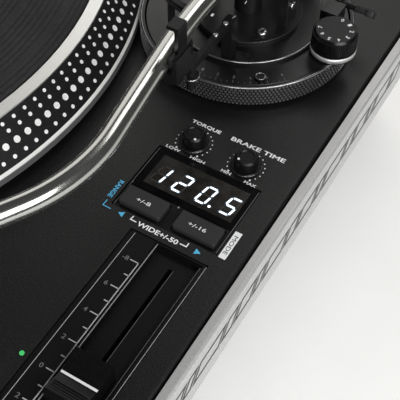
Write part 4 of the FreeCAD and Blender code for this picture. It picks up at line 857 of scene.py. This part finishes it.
def stylus_place():
    """Deck point under the arm's axis at the stylus, from the tube's two bends and the effective length."""
    pivot = Vector(PIVOT)
    first, second, last = ARM_HEADINGS
    start = pivot + ahead(first) * 41
    centre = start + rightward(first) * BENDS[0]
    start = centre - rightward(second) * BENDS[0] + ahead(second) * BULGE_RUN
    start = start - rightward(second) * BENDS[1] + rightward(last) * BENDS[1]
    reach = 0.0
    while (start + ahead(last) * reach - pivot).length < EFFECTIVE_LENGTH:
        reach += 0.01
    return start + ahead(last) * reach


ARM_HEADINGS = (1, 8, -30)                         # straight, bulge and last straight of the tube
BENDS = (245, 62)
BULGE_RUN = 46
EFFECTIVE_LENGTH = 230
ALONG = spin("X", -90)      # turns a frame's Z to its +Y


def arm_frame():
    """Origin on the pivot at the arm's level; +Y runs back along the tube's rear end."""
    return on_deck(*PIVOT, ARM_LEVEL, ARM_HEADINGS[0])


def arc_points(start, heading, turn, radius, steps):
    """Points along an arc that leaves start at a heading and turns by some degrees, positive to the right."""
    side = 1 if turn > 0 else -1
    centre = start + rightward(heading) * radius * side
    return [centre - rightward(heading + turn * i / steps) * radius * side for i in range(1, steps + 1)]


def tube_route():
    """The tube's centre line in plan, from just ahead of the pivot to the locking collar."""
    first, second, last = ARM_HEADINGS
    pivot = Vector(PIVOT)
    points = [pivot + ahead(first) * reach for reach in (4, 16, 28, 41)]
    points += arc_points(points[-1], first, second - first, BENDS[0], 12)
    points += [points[-1] + ahead(second) * BULGE_RUN * part for part in (0.33, 0.67, 1)]
    points += arc_points(points[-1], second, last - second, BENDS[1], 30)
    end = stylus_place() - ahead(last) * 57.5
    bend_end = points[-1]
    points += [bend_end + (end - bend_end) * part for part in (0.33, 0.67, 1)]
    return points


def tube_piece():
    """The bent tube with its yoke block and pitch pins, drawn smooth in place of the CAD facets."""
    z = ARM_LEVEL + DECK_Z
    tube = Piece("arm_tube_smooth", "arm", TUBE, "tube_dark")
    tube.tube([Vector((p.x + SPINDLE_X, p.y, z)) for p in tube_route()], 4.2, 40)
    axis = arm_frame() @ ALONG
    tube.ring([(ON_AXIS, -7), (6.2, -7), (6.6, -6.6), (6.6, 6.6), (6.2, 7), (ON_AXIS, 7)], axis, 48)
    for side in (-1, 1):
        sideways = arm_frame() @ spin("Y", side * 90)
        tube.ring([(ON_AXIS, 6), (1.2, 6), (1.2, 10.7), (1.0, 10.9), (ON_AXIS, 10.9)], sideways, 24)
    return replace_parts(tube.done(smooth=True), "arm_tube")


def head_details():
    tip = stylus_place()
    head = on_deck(tip.x, tip.y, ARM_LEVEL, ARM_HEADINGS[2])
    axis = head @ ALONG

    grip = Piece("collar_knurl", "arm", DARK_PLATING_AND_EDGE_HIGHLIGHT, "bearing_steel")
    pyramid_band(grip, axis, 6.15, 46.5, 5, 0.8, 44, 0.3)
    grip.done()
    bands = Piece("collar_bands", "arm", STEEL, "bearing_steel")
    for at in (44.2, 45.4, 55.4, 56.6):
        bands.ring(hoop(6.1, 6.32, at, 0.3, 0.15), axis, 48)
    bands.done(smooth=True)

    for name, colour, x, z in (("red", (0.5, 0.02, 0.015), 3, -6), ("green", (0.03, 0.3, 0.06), 3, -11),
                               ("white", (0.75, 0.75, 0.72), -3, -6), ("blue", (0.03, 0.1, 0.5), -3, -11)):
        finish = grained(f"lead_{name}", colour, 0.4, grain=1200, relief=0.1, spread=0.1)
        lead = Piece(f"lead_{name}", "arm", finish, "cartridge_plastic")
        points = []
        for i in range(13):
            part = i / 12
            sag = math.sin(part * math.pi) * 2.4
            height = z + (-3.0 - z) * part - sag
            points.append(head @ Vector((x - x * 0.5 * part, 21.5 + 19.5 * part, height)))
        lead.tube(points, 0.42, 8)
        lead.tube([head @ Vector((x, 20.6, z)), head @ Vector((x, 24.6, z))], 0.85, 10)
        lead.done(smooth=True)

    # Dark bars on the cartridge screws are painted shade in their slots.
    screws = Piece("cartridge_screw_slot_shade", "arm", DARK_PRINT_AND_PAINTED_SHADE, "bearing_steel")
    for x in (-6.35, 6.35):
        place = head @ shift(x, 5.5, 1.7) @ spin("Z", 35 + x)
        screws.block(-1.7, 1.7, -0.25, 0.25, 0, 0.03, place)
    screws.done()
    shell = Piece("headshell_trim", "arm", DARK_PLATING_AND_EDGE_HIGHLIGHT, "shell_black")
    outline = [(-8.0, 3.0), (-8.0, -5.6), (-5.6, -7.6), (5.6, -7.6), (8.0, -5.6), (8.0, 3.0)]
    shell.line(outline, 0.3, 0.4, 0.44, head)
    for y, radius, low in ((14.5, 1.6, 0.4), (18.5, 1.6, 0.4), (30.0, 1.1, 1.6)):
        shell.disc(0, y, radius, low, low + 0.04, head, 24)
    shell.done()
    lift = Piece("finger_lift_tip", "arm", DARK_PLATING_AND_EDGE_HIGHLIGHT, "shell_black")
    lift.tube([head @ Vector((16.6, y, -0.85)) for y in (-9.6, -6, -2, 0.6)], 1.15, 12)
    lift.done(smooth=True)
    trim = Piece("cartridge_trim", "arm", GREY_PRINT_AND_GROOVE_SHADE, "cartridge_plastic")
    front = head @ shift(0, -8, 0) @ spin("X", 90)
    trim.block(-6.6, 6.6, -12.6, -12.2, 0, 0.04, front)
    trim.block(-0.15, 0.15, -15.2, -12.9, 0, 0.04, front)
    for side in (-1, 1):
        trim.block(side * 8.5 - 0.02, side * 8.5 + 0.02, -5, 17, -12.6, -12.2, head)
    trim.done()


def weight_details():
    axis = arm_frame() @ ALONG
    start = 32.2
    knurl = Piece("counterweight_knurl", "counterweight", CASTING, "weight_steel")
    pyramid_band(knurl, axis, 15.4, start + 8.6, 9, 1.05, 62, 0.4)
    knurl.done()
    rings = Piece("counterweight_rings", "counterweight", DARK_PLATING_AND_EDGE_HIGHLIGHT, "weight_steel")
    for at in (start + 1.6, start + 7.4, start + 19.6):
        rings.ring(hoop(15.3, 15.62, at, 0.45, 0.25), axis, 96)
    for radius in (9.4, 13.4):
        rings.ring(band(radius, radius + 0.35, start + 20.9, start + 21.12), axis, 96)
    rings.done(smooth=True)

    dial = Piece("weight_dial_scale", "weight_dial", WHITE_INK, "knob_black")
    ribs = Piece("weight_dial_ribs", "weight_dial", KNOB, "knob_black")
    ribs.flutes(axis, 40, (13.5, 13.8, 0.25, 0.1), 30.0, 31.6)
    for i in range(40):
        turned_axis = axis @ spin("Z", 360 * i / 40)
        length = 1.9 if i % 5 == 0 else 1.0
        face = turned_axis @ shift(13.6, 0, 27.4) @ spin("Y", 90)
        dial.block(-length, -0.2, -0.11, 0.11, 0, 0.03, face)
    for i in range(8):
        ring_place = axis @ Matrix.Rotation(2 * math.pi * i / 8 + 0.08, 4, "Z") @ shift(13.6, 0, 0)
        face = ring_place @ spin("Y", 90) @ spin("Z", 90)
        half = 0.8 if i % 2 else 0.45
        dial.text(f"{i / 2:g}", (-half, half, -31.4, -29.7), 0, INK, face, bold=0.0)
    dial.done()
    ribs.done()

    thread = Piece("rear_shaft_thread", "arm", STEEL, "bearing_steel")
    for i in range(9):
        at = 56.8 + 0.9 * i
        thread.ring([(4.4, at - 0.32), (4.53, at), (4.4, at + 0.32)], axis, 40)
    thread.ring(band(ON_AXIS, 3.4, 65.0, 65.25), axis, 40)
    thread.done(smooth=True)
    line = Piece("weight_hub_line", "weight_hub", WHITE_INK, "weight_steel")
    line.block(-0.12, 0.12, 53.5, 56.0, 6.98, 7.03, arm_frame())
    line.done()


def gimbal_details():
    frame_here = arm_frame()
    pins = Piece("gimbal_pivot_caps", "gimbal", STEEL, "bearing_steel")
    # Dark bars across the pivot caps are painted shade in their screw slots.
    slots = Piece("gimbal_pivot_slot_shade", "gimbal", DARK_PRINT_AND_PAINTED_SHADE, "bearing_steel")
    for side in (-1, 1):
        sideways = frame_here @ spin("Y", side * 90)
        pins.ring([(ON_AXIS, 14.9), (2.3, 14.9), (2.3, 15.7), (1.9, 16.0), (ON_AXIS, 16.0)], sideways, 32)
        slots.block(-1.7, 1.7, -0.22, 0.22, 16.0, 16.04, sideways @ Matrix.Rotation(0.6, 4, "Z"))
    edges = frame_here @ ALONG
    for at in (-3.4, 3.4):
        pins.ring(hoop(14.4, 15.06, at, 0.15, 0.12), edges, 80)
    pins.done(smooth=True)
    slots.done()

    bracket = Piece("bracket_screws", "arm_mount", STEEL, "arm_dark")
    # Dark bars and hexagons on the bracket screws are painted shade in their slots and sockets.
    slot_shades = Piece("bracket_screw_slot_shade", "arm_mount", DARK_PRINT_AND_PAINTED_SHADE, "arm_dark")
    top = ARM_LEVEL + 20.6
    crown = [(ON_AXIS, top), (2.6, top), (2.9, top - 0.3), (2.9, top + 0.25), (ON_AXIS, top + 0.4)]
    bracket.ring(crown, on_deck(*PIVOT), 40)
    slot_shades.block(-2.3, 2.3, -0.3, 0.3, top + 0.4, top + 0.44, on_deck(*PIVOT, 0, 25))
    for dx, dy in ((-14, 13), (14, 13), (-14, -13), (14, -13)):
        at = on_deck(PIVOT[0] + dx, PIVOT[1] + dy, 15.4)
        bracket.ring([(ON_AXIS, 0), (2.2, 0), (2.2, 0.9), (1.7, 1.3), (ON_AXIS, 1.3)], at, 28)
        slot_shades.disc(0, 0, 0.95, 1.3, 1.34, at, 6)
    for side in (-1, 1):
        for z in (24.0, 34.0, 56.0):
            place = on_deck(PIVOT[0] + side * 21, PIVOT[1], z) @ spin("Y", side * 90)
            bracket.ring([(ON_AXIS, 0), (1.9, 0), (1.9, 0.5), (1.5, 0.8), (ON_AXIS, 0.8)], place, 28)
            slot_shades.disc(0, 0, 0.8, 0.8, 0.84, place, 6)
    bracket.done(smooth=True)
    slot_shades.done()
    # Grey metal strips on the bracket's upright corners and a ring round its foot are painted edge
    # highlights.
    edge = Piece("bracket_edge_highlights", "arm_mount", DARK_PLATING_AND_EDGE_HIGHLIGHT, "arm_dark")
    for side in (-1, 1):
        x = PIVOT[0] + side * 21
        for y in (PIVOT[1] - 4.9, PIVOT[1] + 4.9):
            edge.block(x - 0.1, x + 0.1, y - 0.1, y + 0.1, 16, 63.5, DECK)
    edge.ring([(23.6, 15.0), (24.0, 14.7), (24.12, 14.85), (23.7, 15.15)], on_deck(*PIVOT), 96)
    edge.done()


def cueing_details():
    pad = Piece("lift_rubber", "cue_lift", RUBBER, "arm_dark")
    top = ARM_LEVEL - 4.2 - 2.6
    for i in range(24):
        spoke = on_deck(*PIVOT, 0, 226 + i * 1.5)
        pad.block(38.9, 41.5, -0.45, 0.45, top, top + 0.7, spoke)
    pad.done()
    lever = Piece("cue_lever_grip", "cue_lever", RUBBER, "arm_dark")
    shaft = on_deck(PIVOT[0] + 34, PIVOT[1] + 21.2, 16.4) @ spin("Y", 90)
    for i in range(6):
        at = 8.2 + i * 0.95
        lever.ring(hoop(1.25, 1.6, at, 0.3, 0.2), shaft, 24)
    lever.ring([(1.6, 13.2), (1.85, 13.5), (1.85, 16.4), (1.5, 16.9), (1.2, 16.9), (1.2, 13.2)], shaft, 24)
    lever.done(smooth=True)
    rest = Piece("rest_screws", "arm_mount", STEEL, "arm_dark")
    rest.ring([(ON_AXIS, 23.7), (2.6, 23.7), (2.6, 23.4), (ON_AXIS, 23.4)], on_deck(203.2, 27.0), 32)
    rest.ring(hoop(3.28, 3.42, 24.5, 0.5, 0.3), on_deck(203.2, 27.0), 40)
    for y in (46, 54):
        rest.ring(band(ON_AXIS, 1.05, 30.9, 31.5), on_deck(203.2, y), 24)
    rest.done(smooth=True)
    clip = Piece("rest_clip_ribs", "rest_clip", KNOB, "knob_black")
    for i in range(5):
        z = 52.0 + i * 1.5
        clip.block(206.75, 207.75, 11.4, 16.6, z, z + 0.7, DECK)
    clip.done()


# ---- Left and front controls ----
TOWER = (-130.0, -130.0)
SPEED_KEYS = {"speed_33_button": (-132.0, "33"), "speed_45_button": (-108.0, "45")}
SPEED_Y = -159.5
START = (-169.0, -151.0)
START_TOP = 2.4
LIGHT = (128.0, -140.0)


def tower_details():
    ribs = Piece("power_switch_ribs", "power_switch", SATIN, "tower_black")
    ribs.flutes(on_deck(*TOWER), 72, (14.1, 14.52, 0.3, 0.14), 16.6, 24.4)
    ribs.done()
    trim = Piece("power_switch_trim", "power_switch", DARK_PLATING_AND_EDGE_HIGHLIGHT, "tower_black")
    trim.ring([(12.9, 26.0), (13.2, 25.7), (13.35, 25.85), (13.0, 26.12)], on_deck(*TOWER), 96)
    trim.block(-0.3, 0.3, 6.6, 12.2, 26.0, 26.06, on_deck(*TOWER, 0, -45))
    trim.done(smooth=False)
    foot = Piece("tower_trim", "plinth", DARK_PLATING_AND_EDGE_HIGHLIGHT, "tower_black")
    foot.ring([(14.15, 0.0), (14.9, 0.0), (14.9, 0.4), (14.15, 0.9)], on_deck(*TOWER), 96)
    foot.ring([(14.15, 14.0), (14.32, 14.1), (14.32, 14.5), (14.15, 14.6)], on_deck(*TOWER), 96)
    foot.done(smooth=True)
    hood = Piece("strobe_hood", "plinth", SATIN, "tower_black")
    face = on_deck(*TOWER, 0, 45)
    hood.block(13.2, 15.6, -4.6, 4.6, 11.9, 12.5, face)
    hood.block(13.2, 15.2, -4.6, -4.1, 4.0, 11.9, face)
    hood.block(13.2, 15.2, 4.1, 4.6, 4.0, 11.9, face)
    hood.done(bevel=0.12)
    lens = Piece("strobe_lens_ribs", "plinth", RED, "red_lens")
    for i in range(7):
        lens.block(12.15, 12.5, -3.5, 3.5, 4.9 + i * 0.95, 5.4 + i * 0.95, face)
    lens.done()

    words = Piece("left_lettering", "plinth", WHITE_INK, "black_cover")
    words.text("OFF", (-151.5, -147.2, -135.4, -133.6), 0, INK, DECK, bold=0.01)
    words.text("ON", (-143.6, -140.4, -147.6, -145.8), 0, INK, DECK, bold=0.01)
    words.text("START / STOP", (-179.5, -158.5, -132.4, -130.4), 0, INK, DECK, bold=0.01)
    for i in range(9):
        x, y = clockwise(-130 - i * 8, 17.6)
        words.disc(TOWER[0] + x, TOWER[1] + y, 0.3, 0, INK, DECK, 12)
    for body, (x, digits) in SPEED_KEYS.items():
        words.text(digits, (x - 2.2, x + 2.2, -153.6, -151.4), 0, INK, DECK, bold=0.01)
    words.done()

    for body, (x, digits) in SPEED_KEYS.items():
        face = Piece(f"{body}_print", body, GREY_PRINT_AND_GROOVE_SHADE, "key_dark")
        box = (x - 2.6, x + 2.6, SPEED_Y - 1.5, SPEED_Y + 1.5)
        face.text(digits, box, KEY_TOP, KEY_TOP + INK, DECK, bold=0.01)
        face.done()
    lamps = Piece("speed_lamps", "plinth", glowing("lamp_red", (0.7, 0.03, 0.01), 0.9), "black_cover")
    bezels = Piece("lamp_bezels", "plinth", DARK_PLATING_AND_EDGE_HIGHLIGHT, "black_cover")
    for x, y in ((-124.6, -151.6), (-100.6, -151.6), (-149.0, -158.0)):
        lamps.disc(x, y, 0.8, 0, 0.3, DECK, 20)
        bezels.ring([(0.85, 0), (1.3, 0), (1.2, 0.3), (0.85, 0.35)], on_deck(x, y), 28)
    lamps.done()
    bezels.done(smooth=True)

    start = Piece("start_stop_print", "start_stop_button", GREY_PRINT_AND_GROOVE_SHADE, "key_dark")
    face = on_deck(*START, START_TOP)
    start.line(rectangle(-14, 14, -14, 14), 0.3, 0, INK, face, closed=True)
    start.prism([(-6.4, -2.6), (-1.6, 0), (-6.4, 2.6)], 0, INK, face)
    start.block(1.8, 6.2, -2.2, 2.2, 0, INK, face)
    start.done()


def light_details():
    collar = [(6.2, 0), (8.2, 0), (8.0, 0.5), (6.5, 0.65), (6.2, 0.4)]
    turned_piece("target_light_trim", "plinth", STEEL, "bearing_steel", collar, on_deck(*LIGHT), 64)
    cap = Piece("target_light_cap", "target_light", DARK_PLATING_AND_EDGE_HIGHLIGHT, "bearing_steel")
    cap.ring(band(3.6, 3.9, 1.4, 1.5), on_deck(*LIGHT), 48)
    for i in range(4):
        at = -8.6 - i * 1.6
        cap.ring(hoop(5.9, 6.03, at, 0.3, 0.15), on_deck(*LIGHT), 48)
    cap.done(smooth=True)
    warm = glowing("warm_lens", (0.95, 0.9, 0.75), 0.25)
    lens = Piece("target_light_lens", "target_light", warm, "bearing_steel")
    lens.disc(0, 0, 1.7, 0, 0.3, on_deck(LIGHT[0] - 1.2, LIGHT[1], -5) @ spin("Y", -90), 24)
    lens.done()


# ---- Base, feet and rear ----
def foot_details():
    for name, sx, sy in (("foot_front_left", -1, -1), ("foot_front_right", 1, -1),
                         ("foot_rear_left", -1, 1), ("foot_rear_right", 1, 1)):
        place = shift(sx * 185.0, sy * 135.0, 0)
        ribs = Piece(f"{name}_ribs", name, RUBBER, "foot_rubber")
        ribs.flutes(place, 60, (23.9, 24.4, 0.7, 0.35), 10.4, 17.4)
        for radius in (8, 12, 16):
            ribs.ring(band(radius, radius + 1.2, 0, 0.3), place, 48)
        ribs.done()
        rim = [(23.9, 18.0), (22.2, 19.9), (22.35, 20.0), (24.06, 18.1)]
        turned_piece(f"{name}_band", name, DARK_PLATING_AND_EDGE_HIGHLIGHT, "foot_rubber", rim, place, 80)


def base_details():
    # Dark lines along the tray's sides and front are painted shade in its grooves.
    grooves = Piece("tray_groove_shade", "plinth", DARK_PRINT_AND_PAINTED_SHADE, "black_moulding")
    for z in (31.0, 33.0, 35.0):
        for side in (-1, 1):
            grooves.block(side * 219.8 - 0.04, side * 219.8 + 0.04, -150, 150, z, z + 0.5)
        grooves.block(-200, 200, -167.84, -167.76, z, z + 0.5)
    grooves.done()
    plate = Piece("bottom_ribs", "plinth", DARK_PRINT_AND_PAINTED_SHADE, "zinc_steel")
    for x in (-120, -60, 0, 60, 120):
        plate.block(x - 1.5, x + 1.5, -118, 118, 21.7, 22.0)
    plate.done(bevel=0.2)
    label = Piece("bottom_label", "plinth", SILVER, "zinc_steel")
    label.block(-52, -8, 60, 86, 21.85, 22.0)
    label.done()
    rows = Piece("bottom_label_rows", "plinth", DARK_PRINT_AND_PAINTED_SHADE, "zinc_steel")
    for i in range(5):
        rows.block(-49, -12 - 5 * (i % 3), 64 + i * 4, 64.7 + i * 4, 21.8, 21.85)
    rows.done()


REAR_Y = 164.4
REAR_Z = 43.0
PHONO_X = 121              # first phono socket, and the step to the next
PHONO_PITCH = 16
GROUND_X = 190


def rear_details():
    """Frame: x to the left seen from the front, y up, z out of the rear face."""
    face = shift(0, REAR_Y, REAR_Z) @ spin("Z", 180) @ spin("X", 90)
    words = Piece("rear_lettering", "plinth", WHITE_INK, "zinc_steel")
    labels = (("AC IN", 47, 6.5), ("USB", 72, 4.2), ("LINE", 129, 5.2), ("PHONO", 161, 7.4),
              ("GND", GROUND_X, 4.6))
    for label, x, wide in labels:
        words.text(label, (-x - wide / 2, -x + wide / 2, 8.2, 10.2), 0, INK, face, bold=0.01)
    for i in range(4):
        x = PHONO_X + PHONO_PITCH * i
        words.text("LR"[i % 2], (-x - 0.7, -x + 0.7, -10.6, -8.8), 0, INK, face, bold=0.01)
    for x0, x1 in ((116, 142), (148, 174)):
        words.line([(-x1, 7.0), (-x1, 7.5), (-x0, 7.5), (-x0, 7.0)], 0.3, 0, INK, face)
    words.done()
    for name, colour, places in (("white", (0.7, 0.7, 0.68), (0, 2)), ("red", (0.5, 0.02, 0.015), (1, 3))):
        finish = grained(f"insulator_{name}", colour, 0.35, grain=900, relief=0.05, spread=0.06)
        rings = Piece(f"socket_rings_{name}", "plinth", finish, "socket_metal")
        for i in places:
            at = face @ shift(-PHONO_X - PHONO_PITCH * i, 0, 0)
            rings.ring(band(1.75, 3.5, 7.8, 8.0), at, 40)
            rings.ring(band(4.25, 6.9, 0.0, 0.35), at, 48)
        rings.done(smooth=False)
    screws = Piece("rear_screws", "plinth", ZINC, "zinc_steel")
    # Dark crosses on the rear screws are painted shade in their slots.
    slot_shades = Piece("rear_screw_slot_shade", "plinth", DARK_PRINT_AND_PAINTED_SHADE, "zinc_steel")
    for x in (2, 60, 88, 108, 182, 198):
        for y in ((-9, 9) if x in (2, 198) else (-9.5,)):
            at = face @ shift(-x, y, 0)
            screws.ring([(ON_AXIS, 0), (1.9, 0), (1.9, 0.4), (1.2, 0.9), (ON_AXIS, 0.9)], at, 24)
            slot_shades.block(-1.1, 1.1, -0.16, 0.16, 0.9, 0.94, at)
            slot_shades.block(-0.16, 0.16, -1.1, 1.1, 0.9, 0.95, at)
    screws.done(smooth=True)
    slot_shades.done()
    thumb = Piece("ground_knurl", "plinth", BRASS, "socket_metal")
    at = face @ shift(-GROUND_X, 0, 0)
    pyramid_band(thumb, at, 4.55, 1.8, 4, 0.85, 34, 0.28)
    thumb.ring(band(ON_AXIS, 2.1, 6.4, 6.9), at, 24)
    thumb.done()


def stage_and_light():
    floor = bpy.data.meshes.new("floor")
    floor.from_pydata([(-4, -4, 0), (4, -4, 0), (4, 4, 0), (-4, 4, 0)], [], [(0, 1, 2, 3)])
    floor_object = bpy.data.objects.new("floor", floor)
    bpy.context.scene.collection.objects.link(floor_object)
    floor.materials.append(grained("pale_floor", (0.94, 0.94, 0.93), 0.8, grain=40, relief=0.02, spread=0.01))

    world = bpy.data.worlds.new("studio")
    bpy.context.scene.world = world
    world.use_nodes = True
    world.node_tree.nodes["Background"].inputs["Color"].default_value = (0.95, 0.97, 1.0, 1)
    world.node_tree.nodes["Background"].inputs["Strength"].default_value = 0.05

    softbox("key", (1.2, -0.5, 1.0), (0.2, -0.05, 0.03), 0.9, 0.9, 22, (1.0, 0.995, 0.985))
    softbox("front_right", (0.75, -1.3, 0.42), (0.23, -0.15, 0.03), 0.6, 0.5, 10, (1.0, 1.0, 1.0))
    softbox("back_left", (-0.75, 1.1, 0.85), (0.12, 0.0, 0.1), 1.2, 1.0, 5.2, (1.0, 0.985, 0.95))
    softbox("back_right", (0.25, 1.3, 1.55), (0.2, 0.0, 0.08), 0.9, 0.6, 5.5, (1.0, 0.99, 0.97))


def softbox(name, place, target, width, height, power, colour):
    light = bpy.data.lights.new(name, "AREA")
    light.shape = "RECTANGLE"
    light.size, light.size_y, light.energy, light.color = width, height, power, colour
    lamp = bpy.data.objects.new(name, light)
    bpy.context.scene.collection.objects.link(lamp)
    lamp.location = place
    lamp.rotation_euler = (Vector(target) - Vector(place)).to_track_quat("-Z", "Y").to_euler()


def camera():
    """Close three-quarter view of the front right quarter, from above the right front."""
    lens = bpy.data.cameras.new("camera")
    lens.sensor_width = 36
    lens.lens = 79.1
    lens.clip_start = 0.01
    eye = bpy.data.objects.new("camera", lens)
    bpy.context.scene.collection.objects.link(eye)
    back = Vector((0.3107, -0.5328, 0.7871)).normalized()
    right = Vector((0.8595, 0.5111, 0.0066)).normalized()
    up = back.cross(right).normalized()
    right = up.cross(back)
    turned_to_view = Matrix((right, up, back)).transposed().to_4x4()
    eye.matrix_world = shift(0.29993, -0.18748, 0.34748) @ turned_to_view
    bpy.context.scene.camera = eye


for build in (strobe_dots, cover_print, display, key_print, knob_details, fader_details, side_ornament,
              arm_base_details, anti_skate_details, tube_piece, gimbal_details, cueing_details,
              head_details, weight_details, tower_details, light_details, foot_details, base_details,
              rear_details, stage_and_light, camera):
    build()
bpy.context.scene.view_settings.view_transform = "Standard"
